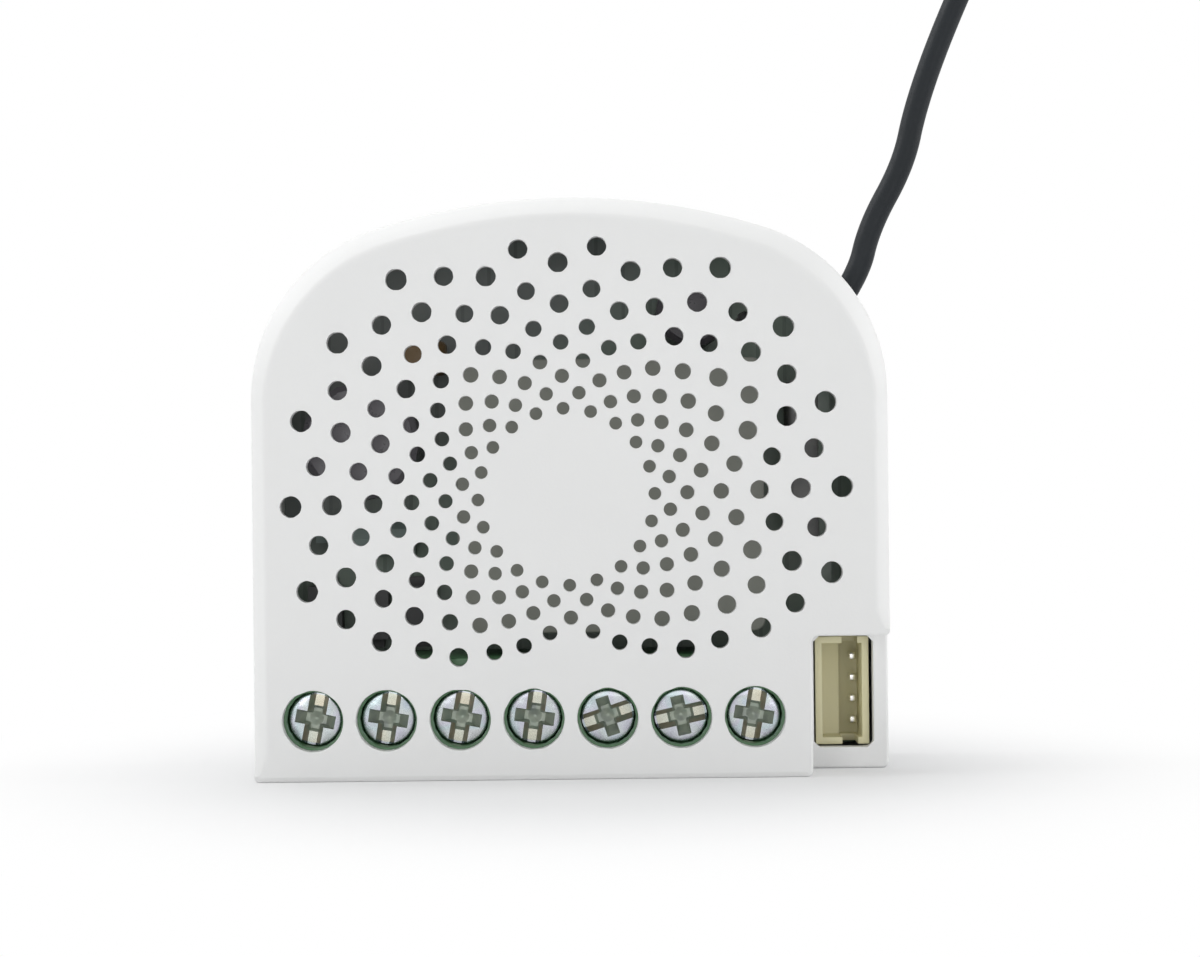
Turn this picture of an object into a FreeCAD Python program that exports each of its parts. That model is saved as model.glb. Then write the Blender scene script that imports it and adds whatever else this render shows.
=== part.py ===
"""Flush-mounted digital input module: a vented two-shell case with a row of seven
rising-cage clamps, a four-way header in a stepped corner and a wire aerial.

The part stands on its terminal side. +X is to the right, +Z is up, and the vented
face looks along -Y. The origin is the middle of the footprint. Depths are counted
backwards from the vented face. Millimetres and degrees.
"""
import FreeCAD, Part
import math
import os
import Sketcher

SIZES = {
    # Case: the outline at the vented face, from the corner arcs to the crown
    "case_width": 43.5,
    "case_height": 39.5,
    "case_depth": 17.0,
    "case_corner": 12.0,
    "case_crown": 44.0,
    "case_wall": 1.1,
    "back_wall": 1.5,
    "cover_depth": 8.0,
    "cover_draft": 2.0,
    "shell_draft": 1.0,
    "side_round": 0.9,
    "floor_round": 0.3,
    "foot_trim": 0.5,
    "back_bevel": 0.8,
    # Lap joint between the two shells, and its snap beads
    "lip_height": 1.4,
    "lip_thick": 0.5,
    "lip_gap": 0.05,
    "corner_gap": 0.3,
    "bead_reach": 0.25,
    "bead_width": 0.7,
    "bead_length": 5.0,
    "bead_low": 14.2,
    "bead_high": 22.4,
    # Spiral vent field
    "vent_x": -0.25,
    "vent_z": 19.16,
    "vent_turn": 1.5,
    # Terminal row
    "pole_pitch": 5.0,
    "pole_x": -17.61,
    "pole_z": 4.12,
    "access_radius": 2.07,
    "head_radius": 1.8,
    "head_depth": 2.0,
    "head_height": 1.6,
    "shank_radius": 1.25,
    "slot_width": 1.3,
    "slot_floor": 0.62,
    "slot_depth": 0.75,
    "edge_cut": 0.01,
    "cross_span": 2.66,
    "cross_width": 0.85,
    "cross_depth": 1.05,
    "cross_core": 0.72,
    "core_sink": 0.15,
    "well_gap": 0.1,
    "seat_gap": 0.05,
    "web_thick": 0.6,
    # Rising cage
    "cage_width": 4.0,
    "cage_reach": 4.2,
    "cage_nut": 1.0,
    "cage_side": 0.6,
    "cage_foot": 0.7,
    "cage_opening": 3.0,
    "cage_travel": 1.8,
    "cage_gap": 0.1,
    "thread_gap": 0.09,
    "tooth_depth": 0.12,
    # Current bar and its solder leg
    "bar_thick": 0.6,
    "bar_gap": 0.1,
    "leg_width": 0.9,
    "leg_reach": 0.4,
    # Terminal block moulding
    "block_gap": 0.15,
    "block_floor": 0.2,
    "block_back": 1.2,
    "nose_drop": 0.3,
    "nose_side": 2.65,
    "nose_inset": 0.4,
    "nose_gap": 0.15,
    "entry_radius": 1.3,
    # Circuit board
    "board_depth": 12.0,
    "board_thick": 1.6,
    "board_gap": 0.15,
    "hole_gap": 0.1,
    "post_radius": 1.3,
    "peg_radius": 0.6,
    "peg_gap": 0.05,
    "peg_short": 0.2,
    "post_x_1": -17.6,
    "post_z_1": 13.6,
    "post_x_2": 12.6,
    "post_z_2": 31.6,
    "post_x_3": -6.0,
    "post_z_3": 34.4,
    "post_x_4": 17.4,
    "post_z_4": 12.0,
    # Hold-down ribs of the cover, at heights clear of the outer vents
    "rib_width": 1.2,
    "rib_reach": 1.3,
    "rib_gap": 0.2,
    "rib_left_low": 15.8,
    "rib_left_high": 21.6,
    "rib_right_low": 16.8,
    "rib_right_high": 22.6,
    # Stepped corner and four-way header
    "notch_x": 16.27,
    "notch_z": 9.55,
    "notch_depth": 5.8,
    "notch_bevel": 0.15,
    "notch_round": 0.45,
    "header_x": 18.84,
    "header_z": 5.35,
    "header_width": 3.75,
    "header_length": 7.55,
    "header_rise": 5.0,
    "header_wall": 0.48,
    "header_floor": 0.9,
    "header_step": 1.2,
    "key_width": 1.1,
    "port_gap": 0.2,
    "port_round": 0.5,
    "pin_pitch": 1.5,
    "pin_side": 0.5,
    "pin_rise": 2.7,
    "pin_x": 0.93,
    "pin_gap": 0.02,
    # Potted supply behind the vents
    "supply_x": 2.75,
    "supply_z": 19.2,
    "supply_width": 21.1,
    "supply_height": 18.8,
    "supply_rise": 9.3,
    "supply_round": 0.8,
    "supply_lead_inset": 2.5,
    "lead_side": 0.6,
    "lead_reach": 0.9,
    # Surge disc, fuse resistor and capacitors
    "surge_x": -10.7,
    "surge_z": 28.9,
    "surge_radius": 2.1,
    "surge_thick": 2.4,
    "surge_lift": 2.8,
    "surge_flat": 0.9,
    "fuse_x": -14.2,
    "fuse_z": 16.3,
    "fuse_radius": 1.3,
    "fuse_length": 6.2,
    "fuse_lift": 0.4,
    "fuse_lead_reach": 0.9,
    "bulk_x": -14.4,
    "bulk_z": 23.1,
    "bulk_radius": 4.0,
    "bulk_rise": 9.6,
    "filter_x": 8.6,
    "filter_z": 32.0,
    "filter_radius": 2.5,
    "filter_rise": 7.0,
    "sleeve_edge": 0.4,
    # Aerial-side daughter board with its screening can
    "radio_x": 17.6,
    "radio_z": 21.6,
    "radio_thick": 0.8,
    "radio_height": 18.8,
    "radio_rise": 7.4,
    "can_height": 11.0,
    "can_rise": 5.2,
    "can_thick": 2.0,
    # Small parts on the circuit board
    "opto_x": -17.6,
    "opto_z": 11.0,
    "opto_pitch": 3.3,
    "opto_width": 2.4,
    "opto_height": 3.8,
    "opto_rise": 2.0,
    "opto_lift": 0.1,
    "opto_leg": 1.6,
    "opto_foot": 0.6,
    "chip_x": -3.0,
    "chip_z": 16.4,
    "chip_side": 7.0,
    "chip_rise": 0.9,
    "crystal_x": 5.0,
    "crystal_width": 2.5,
    "crystal_height": 3.2,
    "crystal_rise": 0.8,
    "trim_x": -10.0,
    "trim_z": 24.0,
    "trim_pitch": 2.4,
    "trim_width": 1.2,
    "trim_height": 2.0,
    "trim_rise": 0.55,
    # Aerial
    "wire_diameter": 1.65,
    "wire_gap": 0.12,
}

# Ring by ring from the inside out: radius of the ring, diameter of its holes
VENT_RINGS = [
    (6.0, 0.82),
    (7.1, 0.87),
    (8.2, 0.92),
    (9.3, 0.96),
    (10.5, 1.02),
    (11.6, 1.07),
    (13.1, 1.23),
    (14.2, 1.18),
    (15.9, 1.33),
    (17.1, 1.28),
    (18.7, 1.43),
]
VENT_SLOTS = 20
VENT_STEP = 360 // VENT_SLOTS
VENT_OPEN_RINGS = 4
TOP_GAP = 3

# Sides of round forms that repeat too often, or lie too deep, for truly round walls
VENT_SIDES = 8
SMALL_VENT_SIDES = 6
SMALL_VENT_RINGS = 6
ACCESS_SIDES = 16
HEAD_SIDES = 16
CORE_SIDES = 8
THROAT_SIDES = 8
THREAD_SIDES = 12
POST_SIDES = 8
CAN_SIDES = 16
AERIAL_SIDES = 8
POLES = 7
HEADER_PINS = 4
POSTS = 4
PEGGED_POSTS = 2
GROOVES = 3
OPTO_COUNT = 3
TRIM_COUNT = 4

# How far a cutting outline starts outside what it cuts, and how deep a joined form
# reaches into what carries it
OVERCUT = 0.5
ROOT = 0.5

# How far each screw's slot stands clockwise from upright, from the left
SLOT_ANGLES = [11.5, 9.5, 10.7, 8.4, 72.0, 78.0, 10.0]

# Corner points of the aerial's centre line: X, Y, Z in the part's frame
AERIAL_ROUTE = [
    (18.17, -0.5, 31.38),
    (20.35, -0.5, 34.3),
    (21.2, -0.4, 37.9),
    (23.7, -0.2, 42.3),
    (24.6, 0.0, 46.4),
    (26.7, 0.3, 52.0),
    (29.9, 0.6, 58.9),
    (33.7, 1.0, 66.0),
    (36.6, 1.4, 73.8),
    (38.2, 1.8, 82.0),
    (38.6, 2.1, 90.3),
    (37.9, 2.3, 98.4),
    (36.5, 2.4, 106.2),
]

document = FreeCAD.newDocument("input_module")
sheet = document.addObject("Spreadsheet::Sheet", "sizes")
parts = []


def fill_sheet():
    """Write every driving dimension into the sheet under its own alias."""
    rows = dict(SIZES)
    for ring, (radius, hole) in enumerate(VENT_RINGS, 1):
        rows[f"ring_radius_{ring}"] = radius
        rows[f"ring_hole_{ring}"] = hole
    for row, (alias, number) in enumerate(rows.items(), 1):
        sheet.set(f"A{row}", alias)
        sheet.set(f"B{row}", str(number))
        sheet.setAlias(f"B{row}", alias)
    document.recompute()


def value(expression):
    """The number that a sheet expression stands for."""
    result = sheet.evalExpression(expression)
    return float(getattr(result, "Value", result))


def named(expression):
    """Spell an expression of bare aliases as one that other objects can read."""
    words = []
    word = ""
    for letter in expression + " ":
        if letter.isalnum() or letter == "_":
            word += letter
            continue
        words.append(f"sizes.{word}" if word in ALIASES else word)
        words.append(letter)
        word = ""
    return "".join(words).strip()


ALIASES = set(SIZES)
for ring_number in range(1, len(VENT_RINGS) + 1):
    ALIASES.add(f"ring_radius_{ring_number}")
    ALIASES.add(f"ring_hole_{ring_number}")


def new_body(label, x="0", z="0", depth="0", kept=True):
    """A body whose local x is the part's X, local y its Z, and local z faces the viewer."""
    body = document.addObject("PartDesign::Body", label)
    body.Label = label
    body.Placement.Rotation = FreeCAD.Rotation(FreeCAD.Vector(1, 0, 0), 90)
    body.setExpression("Placement.Base.x", named(x))
    body.setExpression("Placement.Base.y", named(f"{depth} - case_depth / 2"))
    body.setExpression("Placement.Base.z", named(z))
    if kept:
        parts.append(body)
    return body


def origin_plane(body, role):
    """One of the body's own base planes."""
    return next(item for item in body.Origin.OriginFeatures if item.Role == role)


def new_sketch(body, name, level="0", x="0", y="0", plane="XY_Plane"):
    """A sketch on a base plane, moved by level along its normal and by x and y within it."""
    sketch = body.newObject("Sketcher::SketchObject", name)
    sketch.AttachmentSupport = (origin_plane(body, plane), [""])
    sketch.MapMode = "FlatFace"
    sketch.setExpression("AttachmentOffset.Base.x", named(x))
    sketch.setExpression("AttachmentOffset.Base.y", named(y))
    sketch.setExpression("AttachmentOffset.Base.z", named(level))
    return sketch


def constrain(sketch, kind, *arguments):
    """Add a dimension whose last argument is an expression, and bind it."""
    expression = named(arguments[-1])
    start = value(expression)
    index = sketch.addConstraint(Sketcher.Constraint(kind, *arguments[:-1], start))
    sketch.setExpression(f"Constraints[{index}]", expression)


def pin(sketch, geometry, vertex, x, y):
    """Hold one point of a sketch at x, y."""
    constrain(sketch, "DistanceX", -1, 1, geometry, vertex, x)
    constrain(sketch, "DistanceY", -1, 1, geometry, vertex, y)


def add_polygon(sketch, corners):
    """A closed outline of straight edges through corners given as pairs of expressions."""
    first = sketch.GeometryCount
    count = len(corners)
    points = [FreeCAD.Vector(value(named(x)), value(named(y)), 0) for x, y in corners]
    for index in range(count):
        following = points[(index + 1) % count]
        sketch.addGeometry(Part.LineSegment(points[index], following), False)
    for index in range(count):
        following = first + (index + 1) % count
        sketch.addConstraint(Sketcher.Constraint("Coincident", first + index, 2, following, 1))
    for index, (x, y) in enumerate(corners):
        pin(sketch, first + index, 1, x, y)


def add_rectangle(sketch, left, right, low, high):
    """A rectangle between four expressions."""
    add_polygon(sketch, [(left, low), (right, low), (right, high), (left, high)])


def add_circle(sketch, x, y, radius):
    """A circle about x, y."""
    index = sketch.GeometryCount
    centre = FreeCAD.Vector(value(named(x)), value(named(y)), 0)
    circle = Part.Circle(centre, FreeCAD.Vector(0, 0, 1), value(named(radius)))
    sketch.addGeometry(circle, False)
    pin(sketch, index, 3, x, y)
    constrain(sketch, "Radius", index, radius)


def add_case_outline(sketch, grow, floor):
    """The arched case outline, offset outwards by grow, with its flat foot at floor."""
    half = value(named(f"case_width / 2 + {grow}"))
    top = value(named(f"case_height + {grow}"))
    corner = value(named(f"case_corner + {grow}"))
    crown = value(named(f"case_crown + {grow}"))
    foot = value(named(floor))
    crown_y = top - crown
    corner_x = half - corner
    corner_y = crown_y + math.sqrt((crown - corner) ** 2 - corner_x ** 2)
    swing = math.atan2(corner_y - crown_y, corner_x)
    up = FreeCAD.Vector(0, 0, 1)
    right_arc = Part.Circle(FreeCAD.Vector(corner_x, corner_y, 0), up, corner)
    crown_arc = Part.Circle(FreeCAD.Vector(0, crown_y, 0), up, crown)
    left_arc = Part.Circle(FreeCAD.Vector(-corner_x, corner_y, 0), up, corner)
    base = sketch.GeometryCount
    floor_line, right_line, right_corner, top_arc, left_corner, left_line = range(base, base + 6)
    foot_left = FreeCAD.Vector(-half, foot, 0)
    foot_right = FreeCAD.Vector(half, foot, 0)
    sketch.addGeometry(Part.LineSegment(foot_left, foot_right), False)
    sketch.addGeometry(Part.LineSegment(foot_right, FreeCAD.Vector(half, corner_y, 0)), False)
    sketch.addGeometry(Part.ArcOfCircle(right_arc, 0, swing), False)
    sketch.addGeometry(Part.ArcOfCircle(crown_arc, swing, math.pi - swing), False)
    sketch.addGeometry(Part.ArcOfCircle(left_arc, math.pi - swing, math.pi), False)
    sketch.addGeometry(Part.LineSegment(FreeCAD.Vector(-half, corner_y, 0), foot_left), False)
    sketch.addConstraint(Sketcher.Constraint("Coincident", floor_line, 2, right_line, 1))
    sketch.addConstraint(Sketcher.Constraint("Tangent", right_line, 2, right_corner, 1))
    sketch.addConstraint(Sketcher.Constraint("Tangent", right_corner, 2, top_arc, 1))
    sketch.addConstraint(Sketcher.Constraint("Tangent", top_arc, 2, left_corner, 1))
    sketch.addConstraint(Sketcher.Constraint("Tangent", left_corner, 2, left_line, 1))
    sketch.addConstraint(Sketcher.Constraint("Coincident", left_line, 2, floor_line, 1))
    sketch.addConstraint(Sketcher.Constraint("Vertical", right_line))
    sketch.addConstraint(Sketcher.Constraint("Vertical", left_line))
    pin(sketch, floor_line, 1, f"-(case_width / 2 + {grow})", floor)
    pin(sketch, floor_line, 2, f"case_width / 2 + {grow}", floor)
    pin(sketch, top_arc, 3, "0", "case_height - case_crown")
    constrain(sketch, "Radius", right_corner, f"case_corner + {grow}")
    constrain(sketch, "Radius", top_arc, f"case_crown + {grow}")
    constrain(sketch, "Radius", left_corner, f"case_corner + {grow}")


def settle(feature):
    """Recompute, and stop with the feature's name if it failed."""
    document.recompute()
    if "Invalid" in feature.State or "Error" in feature.State:
        raise RuntimeError(f"{feature.Name} failed: {feature.State}")
    return feature


def pad(body, name, sketch, length, towards_viewer=True):
    """Raise a sketch into a solid."""
    feature = body.newObject("PartDesign::Pad", name)
    feature.Profile = sketch
    feature.setExpression("Length", named(length))
    feature.Reversed = not towards_viewer
    feature.Refine = False
    return settle(feature)


def cut(body, name, sketch, length, along_normal=False):
    """Cut a sketch into the solid, by default against the sketch's normal."""
    before = body.Shape.Volume
    feature = body.newObject("PartDesign::Pocket", name)
    feature.Profile = sketch
    feature.setExpression("Length", named(length))
    feature.Reversed = along_normal
    feature.Refine = False
    settle(feature)
    if feature.Shape.Volume > before - 1e-6:
        raise RuntimeError(f"{name} cuts nothing")
    return feature


def add_prism(body, name, sides, radius, x, y, level, rise,
              kind="PartDesign::AdditivePrism", plane="XY_Plane"):
    """A regular prism that stands for a round one: its section has the circle's area."""
    share = math.sqrt(2 * math.pi / (sides * math.sin(2 * math.pi / sides)))
    prism = body.newObject(kind, name)
    prism.AttachmentSupport = (origin_plane(body, plane), [""])
    prism.MapMode = "FlatFace"
    prism.Polygon = sides
    prism.setExpression("Circumradius", named(f"{radius} * {share}"))
    prism.setExpression("Height", named(rise))
    prism.setExpression("AttachmentOffset.Base.x", named(x))
    prism.setExpression("AttachmentOffset.Base.y", named(y))
    prism.setExpression("AttachmentOffset.Base.z", named(level))
    prism.Refine = False
    return settle(prism)


def loft(body, name, kind, first, last):
    """A straight-sided body or cavity between two outlines."""
    feature = body.newObject(kind, name)
    feature.Profile = first
    feature.Sections = [last]
    feature.Ruled = True
    feature.Refine = False
    return settle(feature)


def repeat_in_line(body, name, feature, sketch, axis, pitch, count):
    """Repeat a feature count times, one pitch apart along the sketch's axis."""
    pattern = body.newObject("PartDesign::LinearPattern", name)
    pattern.Originals = [feature]
    pattern.Direction = (sketch, [axis])
    pattern.setExpression("Length", named(f"{pitch} * {count - 1}"))
    pattern.Occurrences = count
    pattern.Refine = False
    body.Tip = pattern
    return settle(pattern)


def repeat_round(body, name, feature, sketch, step, count):
    """Repeat a feature about the sketch's normal, step degrees apart."""
    pattern = body.newObject("PartDesign::PolarPattern", name)
    pattern.Originals = [feature]
    pattern.Axis = (sketch, ["N_Axis"])
    full = count * step == 360
    pattern.Angle = 360 if full else step * (count - 1)
    pattern.Occurrences = count
    pattern.Refine = False
    body.Tip = pattern
    return settle(pattern)


def edges_where(shape, test):
    """Names of the edges for which test(bounding box) holds."""
    return [f"Edge{n}" for n, edge in enumerate(shape.Edges, 1) if test(edge.BoundBox)]


def round_edges(body, name, radius, test, kind="PartDesign::Fillet", size="Radius"):
    """Round or chamfer the edges that the test picks."""
    base = body.Tip
    picked = edges_where(base.Shape, test)
    if not picked:
        raise RuntimeError(f"{name} finds no edge")
    feature = body.newObject(kind, name)
    feature.Base = (base, picked)
    feature.setExpression(size, named(radius))
    return settle(feature)


def block_between(body, name, sketch_name, left, right, low, high, bottom, rise):
    """A rectangular pad from the local level bottom, rising towards the viewer."""
    sketch = new_sketch(body, sketch_name, bottom)
    add_rectangle(sketch, left, right, low, high)
    return pad(body, name, sketch, rise)


# Offsets of the case outline at the levels where the shells change
AT_JOINT = "cover_depth * tan(cover_draft)"
AT_BACK = f"({AT_JOINT} - (case_depth - cover_depth) * tan(shell_draft))"
AT_FACE_INSIDE = "(case_wall * tan(cover_draft) - case_wall)"
AT_BACK_INSIDE = (f"({AT_JOINT} - (case_depth - back_wall - cover_depth) * tan(shell_draft)"
                  " - case_wall)")
JOINT_INSIDE = f"({AT_JOINT} - case_wall)"
REBATE = f"({AT_JOINT} - case_wall + lip_thick)"
LIP_OUTSIDE = f"({AT_JOINT} - case_wall + lip_thick - lip_gap)"

# Levels along the clamps' axes, as depths from the vented face
SEAT = "(head_depth + head_height)"
CHAMBER = f"({SEAT} + seat_gap + web_thick)"
CAGE_UP = f"({CHAMBER} + seat_gap)"
CAGE_DOWN = f"({CAGE_UP} + cage_travel)"
SHANK_END = f"({CAGE_DOWN} + cage_nut)"
BAR_FRONT = f"({SHANK_END} + seat_gap)"
BAR_BACK = f"({BAR_FRONT} + bar_thick)"
FOOT_FRONT = f"({SHANK_END} + cage_opening)"
ENTRY_DEPTH = f"(({BAR_BACK} + {FOOT_FRONT}) / 2)"

# Places in the terminal block, in the part's X and Z
BLOCK_LEFT = "(pole_x - pole_pitch / 2)"
BLOCK_RIGHT = f"(pole_x + pole_pitch * {POLES - 0.5})"
BLOCK_LOW = "(case_wall + block_floor)"
CHAMBER_LOW = "(pole_z - cage_reach / 2 - cage_gap)"
LEG_LOW = "(pole_z + cage_reach / 2 + cage_gap)"
CHAMBER_HIGH = f"({LEG_LOW} + bar_thick + bar_gap)"
BLOCK_HIGH = f"({CHAMBER_HIGH} + block_back)"
NOSE_FRONT = f"({ENTRY_DEPTH} - nose_side)"
NOSE_BACK = f"({ENTRY_DEPTH} + nose_side)"

RIB_STEP = "(cover_depth - lip_height - rib_gap)"
BOARD_BACK = "(board_depth + board_thick)"
BOARD_OUTLINE = f"({AT_BACK_INSIDE} - board_gap)"
HEADER_LEFT = "(header_x - header_width / 2)"
HEADER_RIGHT = "(header_x + header_width / 2)"
HEADER_LOW = "(header_z - header_length / 2)"
HEADER_HIGH = "(header_z + header_length / 2)"

# Leads of the potted supply, from its middle
LEAD_X = "(supply_width / 2 - supply_lead_inset)"
LEAD_Z = "(supply_height / 2 - supply_lead_inset)"
SUPPLY_LEADS = [(x, z) for x in (f"-{LEAD_X}", LEAD_X) for z in (f"-{LEAD_Z}", LEAD_Z)]

# Hold-down ribs and snap beads: which side wall, and the height of their middle
RIBS = {"rib_left_low": -1, "rib_left_high": -1, "rib_right_low": 1, "rib_right_high": 1}
SNAPS = ((-1, "bead_low"), (-1, "bead_high"), (1, "bead_low"), (1, "bead_high"))


def cut_foot(body, front, back):
    """Cut the drafted outside flat at the foot, between two depths."""
    sketch = new_sketch(body, "foot_outline", f"-({back} + {OVERCUT})")
    add_rectangle(sketch, "-case_width", "case_width", f"-foot_trim - {OVERCUT}", "0")
    cut(body, "foot", sketch, f"{back} - {front} + 2 * {OVERCUT}", along_normal=True)


def cut_aerial_exit(body):
    """Cut the oblique passage of the aerial where the two shells meet."""
    start = FreeCAD.Vector(*AERIAL_ROUTE[0])
    bend = FreeCAD.Vector(*AERIAL_ROUTE[1])
    heading = bend - start
    lean = FreeCAD.Rotation(FreeCAD.Vector(0, 0, 1), FreeCAD.Vector(heading.x, heading.z, 0))
    sketch = new_sketch(body, "aerial_exit_outline", "-cover_depth")
    sketch.AttachmentOffset = FreeCAD.Placement(FreeCAD.Vector(start.x, start.z, 0), lean)
    sketch.setExpression("AttachmentOffset.Base.x", str(start.x))
    sketch.setExpression("AttachmentOffset.Base.y", str(start.z))
    add_circle(sketch, "0", "0", "wire_diameter / 2 + wire_gap")
    cut(body, "aerial_exit", sketch, str(round(2 * heading.Length, 3)), along_normal=True)


def cut_nose_window(body, front, back):
    """Open the foot of a shell for the terminal block's nose, between two depths."""
    sketch = new_sketch(body, "nose_window_outline", f"-{back}")
    add_rectangle(sketch, f"{BLOCK_LEFT} + nose_inset - nose_gap",
                  f"{BLOCK_RIGHT} - nose_inset + nose_gap", f"-{OVERCUT}",
                  "case_wall + lip_thick")
    cut(body, "nose_window", sketch, f"{back} - {front}", along_normal=True)


def vent_runs(ring):
    """Where a ring's unbroken runs of vents start, in degrees, and how many each has.

    Every other ring is turned by half a slot. From the fifth ring on each ring loses one
    slot more about its lowest point, and the last is also open at its highest, so that
    the field stays inside the case.
    """
    if ring <= VENT_OPEN_RINGS:
        return [(VENT_STEP / 2 * ((ring + 1) % 2), VENT_SLOTS)]
    missing = ring - VENT_OPEN_RINGS
    start = 270 + VENT_STEP / 2 * (missing + 1)
    count = VENT_SLOTS - missing
    if ring < len(VENT_RINGS):
        return [(start, count)]
    side = (count - TOP_GAP) // 2
    return [(start, side), (start + VENT_STEP * (side + TOP_GAP), side)]


def make_vent_pins():
    """The pins that leave the vents when they are taken off the face, a body for each run."""
    pins = document.addObject("Part::Compound", "vent_pins")
    runs = []
    for ring in range(1, len(VENT_RINGS) + 1):
        sides = SMALL_VENT_SIDES if ring <= SMALL_VENT_RINGS else VENT_SIDES
        for run, (start, count) in enumerate(vent_runs(ring), 1):
            body = new_body(f"vent_ring_{ring}_{run}", kept=False)
            centre = new_sketch(body, "centre", "0", "vent_x", "vent_z")
            first = add_prism(body, "pin", sides, f"ring_hole_{ring} / 2",
                              f"vent_x + ring_radius_{ring} * cos(vent_turn + {start})",
                              f"vent_z + ring_radius_{ring} * sin(vent_turn + {start})",
                              f"-(case_wall + {OVERCUT})", f"case_wall + 2 * {OVERCUT}")
            repeat_round(body, "ring", first, centre, VENT_STEP, count)
            runs.append(body)
    pins.Links = runs
    return settle(pins)


def cut_vents(body, label):
    """Take the vent pins off the face in one go, as the sub-part of that label."""
    pins = make_vent_pins()
    vented = document.addObject("Part::Cut", label)
    vented.Label = label
    vented.Base = body
    vented.Tool = pins
    settle(vented)
    parts.append(vented)
    expected = 0
    for ring in range(1, len(VENT_RINGS) + 1):
        area = math.pi / 4 * value(f"sizes.ring_hole_{ring}") ** 2
        expected += area * value("sizes.case_wall") * sum(count for _, count in vent_runs(ring))
    removed = body.Shape.Volume - vented.Shape.Volume
    print(f"vents take {removed:.2f} of {expected:.2f} mm3")
    if removed < 0.9 * expected:
        raise RuntimeError("the vents miss the face")


def add_hold_down_ribs(body):
    """Ribs inside the side walls that press on the circuit board's edges."""
    wall = "(case_width / 2 - case_wall / 2)"
    tip = "(case_width / 2 - case_wall - rib_reach)"
    inside = f"({wall} - case_wall)"
    for name, side in RIBS.items():
        left, right = (f"-{wall}", f"-{tip}") if side < 0 else (tip, wall)
        inner_left, inner_right = (f"-{inside}", f"-{tip}") if side < 0 else (tip, inside)
        low = f"{name} - rib_width / 2"
        high = f"{name} + rib_width / 2"
        block_between(body, f"{name}_wall", f"{name}_wall_outline", left, right, low, high,
                      f"-{RIB_STEP}", f"{RIB_STEP} - case_wall / 2")
        block_between(body, f"{name}_foot", f"{name}_foot_outline", inner_left, inner_right,
                      low, high, "-board_depth", f"board_depth - {RIB_STEP} + {ROOT}")


def snap_outline(body, name, side, height, edge):
    """A wedge that stands out of one side wall from edge, for a snap bead or its groove."""
    middle = "(cover_depth - lip_height / 2)"
    sketch = new_sketch(body, name, f"-({height} + bead_length / 2)", plane="XZ_Plane")
    root = f"{edge} - lip_gap * 2"
    tip = f"{edge} + bead_reach"
    corners = [(root, f"-{middle} - bead_width / 2"), (tip, f"-{middle}"),
               (root, f"-{middle} + bead_width / 2")]
    if side < 0:
        corners = [(f"-({x})", y) for x, y in reversed(corners)]
    add_polygon(sketch, corners)
    return sketch


def cut_snap_grooves(body):
    """Grooves in the rebate that take the rear shell's snap beads."""
    for side, height in SNAPS:
        name = f"snap_groove_{len(body.Group)}"
        edge = f"(case_width / 2 + {REBATE})"
        sketch = snap_outline(body, f"{name}_outline", side, height, edge)
        cut(body, name, sketch, "bead_length", along_normal=True)


def add_snap_beads(body):
    """Wedge-shaped beads on the lip."""
    for side, height in SNAPS:
        name = f"snap_bead_{len(body.Group)}"
        edge = f"(case_width / 2 + {LIP_OUTSIDE})"
        sketch = snap_outline(body, f"{name}_outline", side, height, edge)
        pad(body, name, sketch, "bead_length")


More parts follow.
